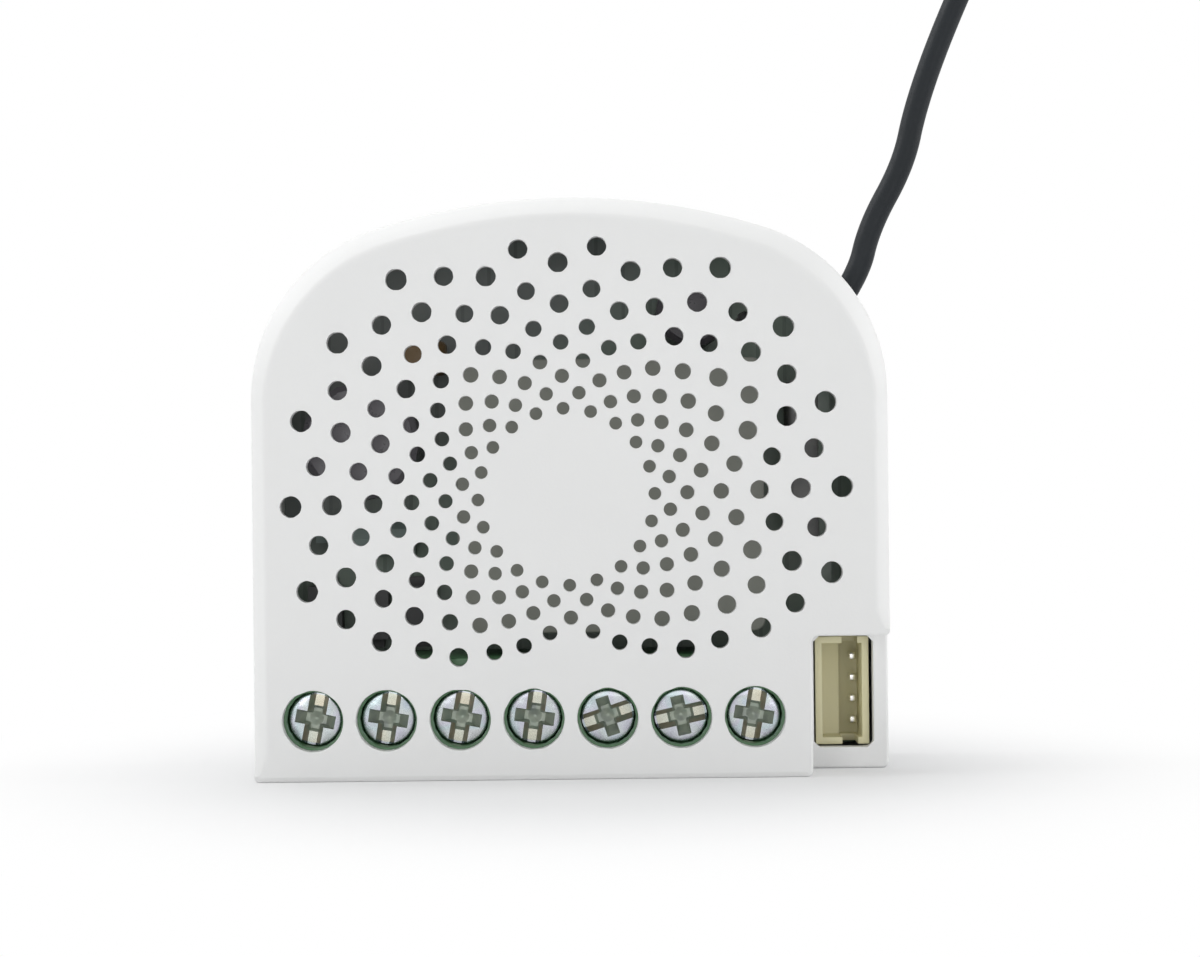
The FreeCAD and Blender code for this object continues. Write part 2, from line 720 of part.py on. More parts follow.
def make_front_cover():
    """The vented face, its drafted sides and the stepped corner for the header."""
    body = new_body("cover_moulding", kept=False)
    face = new_sketch(body, "face_outline")
    add_case_outline(face, "0", "-foot_trim")
    joint = new_sketch(body, "joint_outline", "-cover_depth")
    add_case_outline(joint, AT_JOINT, "-foot_trim")
    loft(body, "outside", "PartDesign::AdditiveLoft", face, joint)
    cut_foot(body, "0", "cover_depth")
    round_edges(body, "side_rounding", "side_round",
                lambda box: box.ZMin > -0.01 and box.YMax > 0.01)
    round_edges(body, "floor_bevel", "floor_round",
                lambda box: box.ZMin > -0.01 and box.YMax < 0.01, "PartDesign::Chamfer", "Size")

    inner_face = new_sketch(body, "inner_face_outline", "-case_wall")
    add_case_outline(inner_face, AT_FACE_INSIDE, "case_wall")
    inner_joint = new_sketch(body, "inner_joint_outline", "-cover_depth")
    add_case_outline(inner_joint, JOINT_INSIDE, "case_wall")
    loft(body, "cavity", "PartDesign::SubtractiveLoft", inner_face, inner_joint)

    rebate = new_sketch(body, "rebate_outline", "-cover_depth")
    add_case_outline(rebate, REBATE, "case_wall - lip_thick")
    cut(body, "rebate", rebate, "lip_height + lip_gap", along_normal=True)

    corner = new_sketch(body, "corner_outline", "-(notch_depth + case_wall)")
    add_rectangle(corner, "notch_x - case_wall", "case_width / 2 - case_wall / 2",
                  "case_wall / 2", "notch_z + case_wall")
    pad(body, "corner_block", corner, "notch_depth + case_wall / 2")
    notch = new_sketch(body, "notch_outline", str(OVERCUT))
    add_rectangle(notch, "notch_x", "case_width", f"-{OVERCUT}", "notch_z")
    cut(body, "notch", notch, f"notch_depth + {OVERCUT}")
    round_edges(body, "notch_rounding", "notch_round",
                lambda box: box.XMax - box.XMin < 0.01 and box.YMax - box.YMin < 0.01
                and abs(box.XMin - value("notch_x")) < 0.01
                and abs(box.YMin - value("notch_z")) < 0.01)
    round_edges(body, "notch_bevel", "notch_bevel",
                lambda box: box.ZMin > -0.01 and (
                    abs(box.XMin - box.XMax) < 0.01 and abs(box.XMin - value("notch_x")) < 0.01
                    or abs(box.YMin - box.YMax) < 0.01
                    and abs(box.YMin - value("notch_z")) < 0.01), "PartDesign::Chamfer", "Size")
    port = new_sketch(body, "port_outline", f"-notch_depth + {OVERCUT}")
    add_rectangle(port, f"{HEADER_LEFT} - port_gap", f"{HEADER_RIGHT} + port_gap",
                  f"{HEADER_LOW} - port_gap / 2", f"{HEADER_HIGH} + port_gap / 2")
    cut(body, "port", port, f"case_wall + 2 * {OVERCUT}")
    plate_front = -value("notch_depth")
    plate_back = -value("notch_depth + case_wall")
    round_edges(body, "port_rounding", "port_round",
                lambda box: abs(box.ZMax - plate_front) < 0.01
                and abs(box.ZMin - plate_back) < 0.01
                and box.XMax - box.XMin < 0.01 and box.YMax - box.YMin < 0.01
                and box.XMin > value("notch_x") + 0.1
                and box.YMax < value("notch_z") - 0.01
                and box.XMax < value("case_width / 2 - case_wall / 2")
                and box.YMin > value("case_wall / 2"))

    hole = add_prism(body, "access_hole", ACCESS_SIDES, "access_radius", "pole_x", "pole_z",
                     f"-(case_wall + {OVERCUT})", f"case_wall + 2 * {OVERCUT}",
                     "PartDesign::SubtractivePrism")
    repeat_in_line(body, "access_holes", hole, face, "H_Axis", "pole_pitch", POLES)
    add_hold_down_ribs(body)
    cut_nose_window(body, f"({NOSE_FRONT} - nose_gap)", f"(cover_depth + {OVERCUT})")
    cut_aerial_exit(body)
    cut_snap_grooves(body)
    cut_vents(body, "front_cover")


def make_rear_shell():
    """The back half: a drafted tray with the lap joint's lip and the board's posts."""
    body = new_body("rear_shell")
    joint = new_sketch(body, "joint_outline", "-cover_depth")
    add_case_outline(joint, AT_JOINT, "-foot_trim")
    back = new_sketch(body, "back_outline", "-case_depth")
    add_case_outline(back, AT_BACK, "-foot_trim")
    loft(body, "outside", "PartDesign::AdditiveLoft", joint, back)
    cut_foot(body, "cover_depth", "case_depth")
    depth = value("case_depth")
    round_edges(body, "back_bevel", "back_bevel",
                lambda box: box.ZMax < 0.01 - depth and box.YMax > 0.01,
                "PartDesign::Chamfer", "Size")
    round_edges(body, "floor_bevel", "floor_round",
                lambda box: box.ZMax < 0.01 - depth and box.YMax < 0.01,
                "PartDesign::Chamfer", "Size")
    inner_joint = new_sketch(body, "inner_joint_outline", "-cover_depth")
    add_case_outline(inner_joint, JOINT_INSIDE, "case_wall")
    inner_back = new_sketch(body, "inner_back_outline", "-(case_depth - back_wall)")
    add_case_outline(inner_back, AT_BACK_INSIDE, "case_wall")
    loft(body, "cavity", "PartDesign::SubtractiveLoft", inner_joint, inner_back)

    lip = new_sketch(body, "lip_outline", "-cover_depth")
    add_case_outline(lip, LIP_OUTSIDE, "case_wall - lip_thick + lip_gap")
    add_case_outline(lip, JOINT_INSIDE, "case_wall")
    pad(body, "lip", lip, "lip_height")
    corner = new_sketch(body, "lip_corner_outline", "-cover_depth")
    add_rectangle(corner, "notch_x - case_wall - corner_gap", "case_width", f"-{OVERCUT}",
                  "notch_z + case_wall + corner_gap")
    cut(body, "lip_corner", corner, f"lip_height + {OVERCUT}", along_normal=True)
    add_snap_beads(body)

    for number in range(1, POSTS + 1):
        add_prism(body, f"post_{number}", POST_SIDES, "post_radius", f"post_x_{number}",
                  f"post_z_{number}", "-(case_depth - back_wall / 2)",
                  f"case_depth - back_wall / 2 - {BOARD_BACK}")
    for number in range(1, PEGGED_POSTS + 1):
        add_prism(body, f"peg_{number}", POST_SIDES, "peg_radius", f"post_x_{number}",
                  f"post_z_{number}", "-(case_depth - back_wall / 2)",
                  "case_depth - back_wall / 2 - board_depth - peg_short")
    cut_nose_window(body, f"(cover_depth - lip_height - {OVERCUT})",
                    f"({NOSE_BACK} + nose_gap)")
    cut_aerial_exit(body)


def make_main_board():
    """The circuit board, with the holes that its leads and the shell's pegs pass through."""
    body = new_body("main_board")
    outline = new_sketch(body, "board_outline", f"-{BOARD_BACK}")
    add_case_outline(outline, BOARD_OUTLINE, "case_wall + board_gap")
    pad(body, "board", outline, "board_thick")

    leg = new_sketch(body, "leg_hole_outline", "-board_depth", "pole_x", LEG_LOW)
    add_rectangle(leg, "-(leg_width / 2 + hole_gap)", "leg_width / 2 + hole_gap",
                  "-hole_gap", "bar_thick + hole_gap")
    leg_hole = cut(body, "leg_hole", leg, f"board_thick + {OVERCUT}")
    repeat_in_line(body, "leg_holes", leg_hole, leg, "H_Axis", "pole_pitch", POLES)

    pin_sketch = new_sketch(body, "pin_hole_outline", "-board_depth",
                            "header_x + pin_x", f"header_z - pin_pitch * {(HEADER_PINS - 1) / 2}")
    half = "(pin_side / 2 + hole_gap)"
    add_rectangle(pin_sketch, f"-{half}", half, f"-{half}", half)
    pin_hole = cut(body, "pin_hole", pin_sketch, f"board_thick + {OVERCUT}")
    repeat_in_line(body, "pin_holes", pin_hole, pin_sketch, "V_Axis", "pin_pitch", HEADER_PINS)

    leads = new_sketch(body, "supply_hole_outline", "-board_depth", "supply_x", "supply_z")
    half = "(lead_side / 2 + hole_gap)"
    for x, y in SUPPLY_LEADS:
        add_rectangle(leads, f"{x} - {half}", f"{x} + {half}", f"{y} - {half}", f"{y} + {half}")
    cut(body, "supply_holes", leads, f"board_thick + {OVERCUT}")

    for number in range(1, PEGGED_POSTS + 1):
        add_prism(body, f"peg_hole_{number}", POST_SIDES, "(peg_radius + peg_gap)",
                  f"post_x_{number}", f"post_z_{number}", f"-({BOARD_BACK} + {OVERCUT})",
                  f"board_thick + 2 * {OVERCUT}", "PartDesign::SubtractivePrism")


def make_terminal_block():
    """One green moulding: seven screw wells, cage chambers and wire entries."""
    body = new_body("terminal_block")
    front = "(case_wall + block_gap)"
    block_between(body, "housing", "housing_outline", BLOCK_LEFT, BLOCK_RIGHT,
                  BLOCK_LOW, BLOCK_HIGH, "-board_depth", f"board_depth - {front}")
    block_between(body, "nose", "nose_outline", f"{BLOCK_LEFT} + nose_inset",
                  f"{BLOCK_RIGHT} - nose_inset", "nose_drop", f"{BLOCK_LOW} + {ROOT}",
                  f"-{NOSE_BACK}", f"{NOSE_BACK} - {NOSE_FRONT}")
    chamber = new_sketch(body, "chamber_outline", f"-(board_depth + {OVERCUT})", "pole_x")
    add_rectangle(chamber, "-(cage_width / 2 + cage_gap)", "cage_width / 2 + cage_gap",
                  CHAMBER_LOW, CHAMBER_HIGH)
    hollow = cut(body, "chamber", chamber, f"board_depth + {OVERCUT} - {CHAMBER}",
                 along_normal=True)
    repeat_in_line(body, "chambers", hollow, chamber, "H_Axis", "pole_pitch", POLES)
    bore = add_prism(body, "well", HEAD_SIDES, "(head_radius + well_gap)", "pole_x", "pole_z",
                     f"-({SEAT} + seat_gap)", f"{SEAT} + seat_gap - {front} + {OVERCUT}",
                     "PartDesign::SubtractivePrism")
    repeat_in_line(body, "wells", bore, chamber, "H_Axis", "pole_pitch", POLES)
    passage = add_prism(body, "throat", THROAT_SIDES, "(shank_radius + well_gap)", "pole_x",
                        "pole_z", f"-({CHAMBER} + {OVERCUT})",
                        f"{CHAMBER} - {SEAT} + 2 * {OVERCUT}", "PartDesign::SubtractivePrism")
    repeat_in_line(body, "throats", passage, chamber, "H_Axis", "pole_pitch", POLES)

    entry = new_sketch(body, "entry_outline", "-nose_drop", "pole_x", f"-{ENTRY_DEPTH}",
                       plane="XZ_Plane")
    add_circle(entry, "0", "0", "entry_radius")
    mouth = cut(body, "entry", entry, f"{CHAMBER_LOW} - nose_drop + {OVERCUT}")
    repeat_in_line(body, "entries", mouth, entry, "H_Axis", "pole_pitch", POLES)


def cut_drive(body):
    """Cut the combination drive: a sloped slot right across and a tapered cross."""
    slot = new_sketch(body, "slot_outline", "0", plane="XZ_Plane")
    add_polygon(slot, [("-slot_width / 2", "edge_cut"), ("-slot_floor / 2", "-slot_depth"),
                       ("slot_floor / 2", "-slot_depth"), ("slot_width / 2", "edge_cut")])
    feature = body.newObject("PartDesign::Pocket", "slot")
    feature.Profile = slot
    feature.setExpression("Length", named("3 * head_radius"))
    feature.SideType = "Symmetric"
    feature.Refine = False
    settle(feature)
    cross = new_sketch(body, "cross_outline", "0")
    arm = "cross_span / 2"
    side = "cross_width / 2"
    add_polygon(cross, [(f"-{side}", f"-{arm}"), (side, f"-{arm}"), (side, f"-{side}"),
                        (arm, f"-{side}"), (arm, side), (side, side),
                        (side, arm), (f"-{side}", arm), (f"-{side}", side),
                        (f"-{arm}", side), (f"-{arm}", f"-{side}"), (f"-{side}", f"-{side}")])
    cut(body, "cross", cross, "cross_depth")
    add_prism(body, "core", CORE_SIDES, "cross_core", "0", "0", "-(cross_depth + core_sink)",
              f"cross_depth + core_sink + {OVERCUT}", "PartDesign::SubtractivePrism")


def make_screw(number, slot_angle):
    """A terminal screw: a pan head with a combination drive on a plain shank."""
    offset = f"(pole_x + pole_pitch * {number - 1})"
    body = new_body(f"terminal_screw_{number}", offset, "pole_z", "head_depth")
    turn = FreeCAD.Rotation(FreeCAD.Vector(0, 0, 1), -slot_angle)
    body.Placement.Rotation = body.Placement.Rotation.multiply(turn)
    add_prism(body, "head", HEAD_SIDES, "head_radius", "0", "0", "-head_height", "head_height")
    length = f"({SHANK_END} - head_depth)"
    shank = new_sketch(body, "shank_outline", f"-{length}")
    add_circle(shank, "0", "0", "shank_radius")
    pad(body, "shank", shank, f"{length} - head_height / 2")
    cut_drive(body)


def make_cage(number):
    """A rising cage: a threaded wall, two sides and a toothed foot round the wire."""
    offset = f"(pole_x + pole_pitch * {number - 1})"
    body = new_body(f"clamp_cage_{number}", offset, "pole_z", CAGE_DOWN)
    frame = new_sketch(body, "frame_outline", "-cage_reach / 2", plane="XZ_Plane")
    height = "(cage_nut + cage_opening + cage_foot)"
    add_rectangle(frame, "-cage_width / 2", "cage_width / 2", f"-{height}", "0")
    opening = "(cage_nut + cage_opening)"
    inner = "(cage_width / 2 - cage_side)"
    add_polygon(frame, [(f"-{inner}", f"-{opening}"), (inner, f"-{opening}"),
                        (inner, "-cage_nut"), (f"-{inner}", "-cage_nut")])
    pad(body, "frame", frame, "cage_reach")
    add_prism(body, "thread", THREAD_SIDES, "(shank_radius + thread_gap)", "0", "0",
              f"-(cage_nut + {OVERCUT})", f"cage_nut + 2 * {OVERCUT}",
              "PartDesign::SubtractivePrism")
    groove = new_sketch(body, "groove_outline", f"-{inner}", "0", f"-{opening}",
                        plane="YZ_Plane")
    pitch = f"cage_reach / {GROOVES + 1}"
    middle = f"-({pitch}) * {(GROOVES - 1) / 2}"
    add_polygon(groove, [(f"{middle} - tooth_depth", "edge_cut"), (middle, "-tooth_depth"),
                         (f"{middle} + tooth_depth", "edge_cut")])
    tooth = cut(body, "groove", groove, f"2 * {inner}", along_normal=True)
    repeat_in_line(body, "grooves", tooth, groove, "H_Axis", pitch, GROOVES)


def make_contacts():
    """Seven current bars, each bent down into a solder leg."""
    body = new_body("terminal_contacts")
    half = "(cage_width / 2 - cage_side - bar_gap)"
    bar = new_sketch(body, "bar_outline", f"-{BAR_BACK}", "pole_x")
    add_rectangle(bar, f"-{half}", half, "pole_z - cage_reach / 2", f"{LEG_LOW} + bar_thick")
    bars = pad(body, "bar", bar, "bar_thick")
    leg = new_sketch(body, "leg_outline", f"-({BOARD_BACK} + leg_reach)", "pole_x", LEG_LOW)
    add_rectangle(leg, "-leg_width / 2", "leg_width / 2", "0", "bar_thick")
    legs = pad(body, "leg", leg, f"{BOARD_BACK} + leg_reach - {BAR_BACK}")
    pattern = body.newObject("PartDesign::LinearPattern", "poles")
    pattern.Originals = [bars, legs]
    pattern.Direction = (leg, ["H_Axis"])
    pattern.setExpression("Length", named(f"pole_pitch * {POLES - 1}"))
    pattern.Occurrences = POLES
    pattern.Refine = False
    body.Tip = pattern
    settle(pattern)


def make_header_housing():
    """The header's shroud: two floor levels and a key slot in each end wall."""
    body = new_body("header_housing", "header_x", "header_z", "board_depth")
    half_width = "header_width / 2"
    half_length = "header_length / 2"
    block_between(body, "shroud", "shroud_outline", f"-{half_width}", half_width,
                  f"-{half_length}", half_length, "0", "header_rise")
    deep = new_sketch(body, "deep_outline", "header_rise")
    wide = f"({half_width} - header_wall)"
    long = f"({half_length} - header_wall)"
    add_rectangle(deep, "0", wide, f"-{long}", long)
    cut(body, "deep_side", deep, "header_rise - header_floor")
    shallow = new_sketch(body, "shallow_outline", "header_rise")
    add_rectangle(shallow, f"-{wide}", "edge_cut", f"-{long}", long)
    cut(body, "shallow_side", shallow, "header_rise - header_floor - header_step")
    key = new_sketch(body, "key_outline", "header_rise")
    add_rectangle(key, "0", "key_width", f"-{half_length} - {OVERCUT}",
                  f"{half_length} + {OVERCUT}")
    cut(body, "keys", key, "header_rise - header_floor - header_step")
    hole = new_sketch(body, "pin_hole_outline", "header_floor", "pin_x",
                      f"-pin_pitch * {(HEADER_PINS - 1) / 2}")
    half = "(pin_side / 2 + pin_gap)"
    add_rectangle(hole, f"-{half}", half, f"-{half}", half)
    pin_hole = cut(body, "pin_hole", hole, f"header_floor + {OVERCUT}")
    repeat_in_line(body, "pin_holes", pin_hole, hole, "V_Axis", "pin_pitch", HEADER_PINS)


def make_header_pins():
    """Four square pins through the header's floor and the board."""
    body = new_body("header_pins", "header_x + pin_x", "header_z", "board_depth")
    first = f"-pin_pitch * {(HEADER_PINS - 1) / 2}"
    outline = new_sketch(body, "pin_outline", "-(board_thick + lead_reach)", "0", first)
    half = "pin_side / 2"
    add_rectangle(outline, f"-{half}", half, f"-{half}", half)
    shaft = pad(body, "pin", outline, "board_thick + lead_reach + pin_rise")
    repeat_in_line(body, "pins", shaft, outline, "V_Axis", "pin_pitch", HEADER_PINS)


def make_supply():
    """The potted power supply that fills the case behind the vents."""
    body = new_body("power_supply", "supply_x", "supply_z", "board_depth")
    block_between(body, "potting_box", "box_outline", "-supply_width / 2", "supply_width / 2",
                  "-supply_height / 2", "supply_height / 2", "0", "supply_rise")
    rise = value("supply_rise")
    round_edges(body, "upright_rounding", "supply_round",
                lambda box: box.ZMax - box.ZMin > rise - 0.01)
    leads = new_sketch(body, "lead_outline", "-(board_thick + lead_reach)")
    for x, y in SUPPLY_LEADS:
        add_rectangle(leads, f"{x} - lead_side / 2", f"{x} + lead_side / 2",
                      f"{y} - lead_side / 2", f"{y} + lead_side / 2")
    pad(body, "leads", leads, f"board_thick + lead_reach + {ROOT}")


def make_surge_disc():
    """A coated surge-limiting disc standing on its two leads."""
    body = new_body("surge_disc", "surge_x", "surge_z", "board_depth")
    add_prism(body, "disc", CAN_SIDES, "surge_radius", "0", "surge_lift + surge_radius",
              "-surge_thick / 2", "surge_thick", plane="XZ_Plane")
    half = value("surge_thick / 2")
    round_edges(body, "coating", "surge_thick / 2 - surge_flat",
                lambda box: box.YMax - box.YMin < 0.01 and abs(abs(box.YMax) - half) < 0.01,
                "PartDesign::Chamfer", "Size")
    lead = new_sketch(body, "lead_outline", "0", "-surge_radius / 2")
    add_rectangle(lead, "-lead_side / 2", "lead_side / 2", "-lead_side / 2", "lead_side / 2")
    leads = pad(body, "lead", lead, "surge_lift + surge_radius / 2")
    repeat_in_line(body, "leads", leads, lead, "H_Axis", "surge_radius", 2)


def make_fuse():
    """An axial fuse resistor lying over the board, its leads bent down at both ends."""
    body = new_body("fuse_resistor", "fuse_x", "fuse_z", "board_depth")
    centre = "(fuse_lift + fuse_radius)"
    cap = "(fuse_length / 2)"
    add_prism(body, "barrel", THREAD_SIDES, "fuse_radius", "0", centre, f"-{cap}",
              "fuse_length", plane="YZ_Plane")
    lead = new_sketch(body, "lead_outline", "-lead_side / 2", plane="XZ_Plane")
    out = f"({cap} + fuse_lead_reach)"
    bend = [(f"{cap} - {ROOT}", f"{centre} + lead_side / 2"),
            (out, f"{centre} + lead_side / 2"), (out, "0"), (f"{out} - lead_side", "0"),
            (f"{out} - lead_side", f"{centre} - lead_side / 2"),
            (f"{cap} - {ROOT}", f"{centre} - lead_side / 2")]
    add_polygon(lead, bend)
    add_polygon(lead, [(f"-({x})", y) for x, y in bend])
    pad(body, "leads", lead, "lead_side")


def make_capacitor(label, prefix):
    """A sleeved capacitor can."""
    body = new_body(label, f"{prefix}_x", f"{prefix}_z", "board_depth")
    radius = f"{prefix}_radius"
    rise = f"{prefix}_rise"
    add_prism(body, "can", CAN_SIDES, radius, "0", "0", "0", rise)
    top = value(rise)
    round_edges(body, "rolled_edge", "sleeve_edge",
                lambda box: box.ZMin > top - 0.01, "PartDesign::Chamfer", "Size")


def make_radio():
    """The daughter board on edge, and the screening can over its chips."""
    board = new_body("radio_board", "radio_x", "radio_z", "board_depth")
    block_between(board, "board", "board_outline", "-radio_thick / 2", "radio_thick / 2",
                  "-radio_height / 2", "radio_height / 2", "0", "radio_rise")
    can = new_body("radio_shield", "radio_x - radio_thick / 2", "radio_z", "board_depth")
    block_between(can, "can", "can_outline", "-can_thick", "0",
                  "-can_height / 2", "can_height / 2", "(radio_rise - can_rise) / 2", "can_rise")
    reach = value("can_thick")
    round_edges(can, "can_rounding", "can_thick / 5",
                lambda box: box.XMax < 0.01 - reach)


def make_small_parts():
    """Isolators behind the terminals, and the controller's chips on the board's back."""
    isolators = new_body("input_isolators", "opto_x", "opto_z", "board_depth")
    case = new_sketch(isolators, "case_outline", "opto_lift")
    add_rectangle(case, "-opto_width / 2", "opto_width / 2",
                  "-opto_height / 2", "opto_height / 2")
    cases = pad(isolators, "case", case, "opto_rise")
    legs = new_sketch(isolators, "leg_outline", "0")
    add_rectangle(legs, "-opto_leg / 2", "opto_leg / 2",
                  "-opto_height / 2 - opto_foot", "opto_height / 2 + opto_foot")
    feet = pad(isolators, "legs", legs, "opto_rise / 2")
    pattern = isolators.newObject("PartDesign::LinearPattern", "row")
    pattern.Originals = [cases, feet]
    pattern.Direction = (case, ["H_Axis"])
    pattern.setExpression("Length", named(f"opto_pitch * {OPTO_COUNT - 1}"))
    pattern.Occurrences = OPTO_COUNT
    pattern.Refine = False
    isolators.Tip = pattern
    settle(pattern)

    controller = new_body("controller_chip", "chip_x", "chip_z", BOARD_BACK)
    block_between(controller, "case", "case_outline", "-chip_side / 2", "chip_side / 2",
                  "-chip_side / 2", "chip_side / 2", "-chip_rise", "chip_rise")
    crystal = new_body("crystal", "crystal_x", "chip_z", BOARD_BACK)
    block_between(crystal, "can", "can_outline", "-crystal_width / 2", "crystal_width / 2",
                  "-crystal_height / 2", "crystal_height / 2", "-crystal_rise", "crystal_rise")
    trim = new_body("trim_parts", "trim_x", "trim_z", BOARD_BACK)
    outline = new_sketch(trim, "part_outline", "-trim_rise")
    add_rectangle(outline, "-trim_width / 2", "trim_width / 2",
                  "-trim_height / 2", "trim_height / 2")
    part = pad(trim, "part", outline, "trim_rise")
    repeat_in_line(trim, "parts", part, outline, "H_Axis", "trim_pitch", TRIM_COUNT)


def make_aerial():
    """The insulated aerial: straight runs joined by tangent arcs, swept with an octagon."""
    points = [FreeCAD.Vector(*point) for point in AERIAL_ROUTE]
    edges = []
    here = points[0]
    for before, corner, after in zip(points, points[1:], points[2:]):
        inward = (corner - before).normalize()
        outward = (after - corner).normalize()
        turn = inward.getAngle(outward)
        reach = 0.45 * min((corner - before).Length, (after - corner).Length)
        radius = reach / math.tan(turn / 2)
        start = corner - inward * reach
        end = corner + outward * reach
        middle = (outward - inward).normalize()
        crown = corner + middle * (radius / math.cos(turn / 2) - radius)
        print(f"aerial bend {len(edges) // 2 + 1}: radius {radius:.1f} mm")
        edges.append(Part.LineSegment(here, start).toShape())
        edges.append(Part.Arc(start, crown, end).toShape())
        here = end
    edges.append(Part.LineSegment(here, points[-1]).toShape())
    path = Part.Wire(edges)
    reach = value("wire_diameter / 2")
    frame = FreeCAD.Placement(points[0], FreeCAD.Rotation(FreeCAD.Vector(0, 0, 1),
                                                          points[1] - points[0]))
    step = 2 * math.pi / AERIAL_SIDES
    corners = [frame.multVec(FreeCAD.Vector(reach * math.cos(step * index),
                                            reach * math.sin(step * index), 0))
               for index in range(AERIAL_SIDES + 1)]
    aerial = document.addObject("Part::Feature", "aerial_wire")
    aerial.Label = "aerial_wire"
    aerial.Shape = path.makePipeShell([Part.makePolygon(corners)], True, False)
    aerial.Placement = FreeCAD.Placement()
    parts.append(aerial)
    section = AERIAL_SIDES / 2 * reach ** 2 * math.sin(step)
    expected = section * path.Length
    print(f"aerial length {path.Length:.2f} mm, volume {aerial.Shape.Volume:.3f} of {expected:.3f}")


def write_parts():
    """Check every object, then write one file for each sub-part."""
    document.recompute()
    for item in document.Objects:
        if "Invalid" in item.State or "Error" in item.State:
            raise RuntimeError(f"{item.Label} is in state {item.State}")
    for item in parts:
        if item.Shape.isNull() or not item.Shape.isValid():
            raise RuntimeError(f"{item.Label} has no valid shape")
    os.makedirs("parts", exist_ok=True)
    for item in parts:
        item.Shape.exportStep(f"parts/{item.Label}.step")
        box = item.Shape.BoundBox
        print(f"{item.Label}: {len(item.Shape.Solids)} solid(s), {item.Shape.Volume:.2f} mm3, "
              f"X {box.XMin:.2f}..{box.XMax:.2f} Y {box.YMin:.2f}..{box.YMax:.2f} "
              f"Z {box.ZMin:.2f}..{box.ZMax:.2f}")


fill_sheet()
make_front_cover()
make_rear_shell()
make_main_board()
make_terminal_block()
for pole in range(1, POLES + 1):
    make_screw(pole, SLOT_ANGLES[pole - 1])
    make_cage(pole)
make_contacts()
make_header_housing()
make_header_pins()
make_supply()
make_surge_disc()
make_fuse()
make_capacitor("bulk_capacitor", "bulk")
make_capacitor("filter_capacitor", "filter")
make_radio()
make_small_parts()
make_aerial()
write_parts()
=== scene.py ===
"""Looks of the digital input module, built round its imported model.

Lengths are in millimetres until a mesh is made; materials, lamps and the floor use metres.
A place on the case is written as x, z and the depth behind the vented face.
"""

import math

import bmesh
import bpy
from mathutils import Matrix, Vector
from mathutils.geometry import delaunay_2d_cdt


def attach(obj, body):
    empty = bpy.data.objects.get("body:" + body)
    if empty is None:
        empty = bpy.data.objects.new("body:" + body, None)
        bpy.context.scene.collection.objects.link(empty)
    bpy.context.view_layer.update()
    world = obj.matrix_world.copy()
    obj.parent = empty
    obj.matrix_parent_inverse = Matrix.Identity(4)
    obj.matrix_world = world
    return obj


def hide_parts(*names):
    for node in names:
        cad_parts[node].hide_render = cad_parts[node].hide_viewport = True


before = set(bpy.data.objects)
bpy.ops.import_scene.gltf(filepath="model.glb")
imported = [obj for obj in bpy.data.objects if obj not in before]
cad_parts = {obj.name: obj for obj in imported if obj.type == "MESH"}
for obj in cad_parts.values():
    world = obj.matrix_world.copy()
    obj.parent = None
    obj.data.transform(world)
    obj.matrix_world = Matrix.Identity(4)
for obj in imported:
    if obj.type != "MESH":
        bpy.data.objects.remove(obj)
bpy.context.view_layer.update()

MM = 0.001
FACE_Y = -8.5

# Case, as in the solids
HALF_WIDTH = 21.75
HEIGHT = 39.5
DEPTH = 17.0
CORNER = 12.0
CROWN = 44.0
WALL = 1.1
JOINT = 8.0
SHELL_FLOOR = 15.5
COVER_DRAFT = math.tan(math.radians(2.0))
SHELL_DRAFT = math.tan(math.radians(1.0))

# Stepped corner, the header's port in it, and the opening in the foot for the clamps
NOTCH_X = 16.27
NOTCH_Z = 9.55
NOTCH_DEPTH = 5.8
PORT_LEFT, PORT_RIGHT, PORT_LOW, PORT_HIGH = 16.765, 20.915, 1.475, 9.225
PORT_ROUND = 0.5
WINDOW_LEFT, WINDOW_RIGHT, WINDOW_FRONT, WINDOW_BACK = -19.86, 14.64, 6.125, 11.725

# Softened edges
SIDE_EDGE = 1.05
TOP_EDGE = 1.45
SHOULDER_EDGE = 0.3
FOOT_EDGE = 0.4
NOTCH_EDGE = 0.16
PLATE_EDGE = 0.22
BACK_EDGE = 0.8
VENT_EDGE = 0.05
ACCESS_EDGE = 0.10
PLAN_ROUND = 0.42
NOTCH_ROUND = 0.45
EDGE_RAMP = 1.3
JOINT_GROOVE = 0.07

# Slope round the vented face: where along its arc it begins and ends, its angles there in
# degrees, and how much flatter it is along the foot
SLOPE_RUN = (0.22, 0.78)
SLOPE_ANGLES = (38.0, 52.0)
FOOT_FLATTER = (18.0, 22.0)

# Seen in the photo and not in the solids: sides that lean in, and slightly larger vents
SIDE_LEAN = 0.15
VENT_EASE = 0.025

# Steps along the roundings and round the holes
CORNER_STEPS, CROWN_STEPS, RAMP_STEPS, SLOPE_STEPS = 28, 24, 4, 4
PLAN_STEPS, NOTCH_STEPS, PORT_STEPS, EDGE_STEPS, MOUTH_STEPS = 6, 8, 6, 6, 3
VENT_SIDES, ACCESS_SIDES = 22, 72

# Discs that cover the port, where the plate is left open: heights in the port, and radius
PORT_DISCS, DISC_RADIUS = (1.9, 3.875, 5.85), 2.0

# How far the chords of a many-sided hole lie inside its circle at most
CHORD_SLACK = 0.01

# In metres: points nearer than this are one, and faces this small are dropped
SAME_POINT, NO_AREA = 1e-8, 1e-14

# Terminal row; each screw's slot is turned clockwise from upright, in degrees
POLE_X, POLE_Z, POLE_PITCH, POLES = -17.61, 4.12, 5.0, 7
ACCESS_RADIUS = 2.07
SLOT_ANGLES = [11.5, 9.5, 10.7, 8.4, 72.0, 78.0, 10.0]

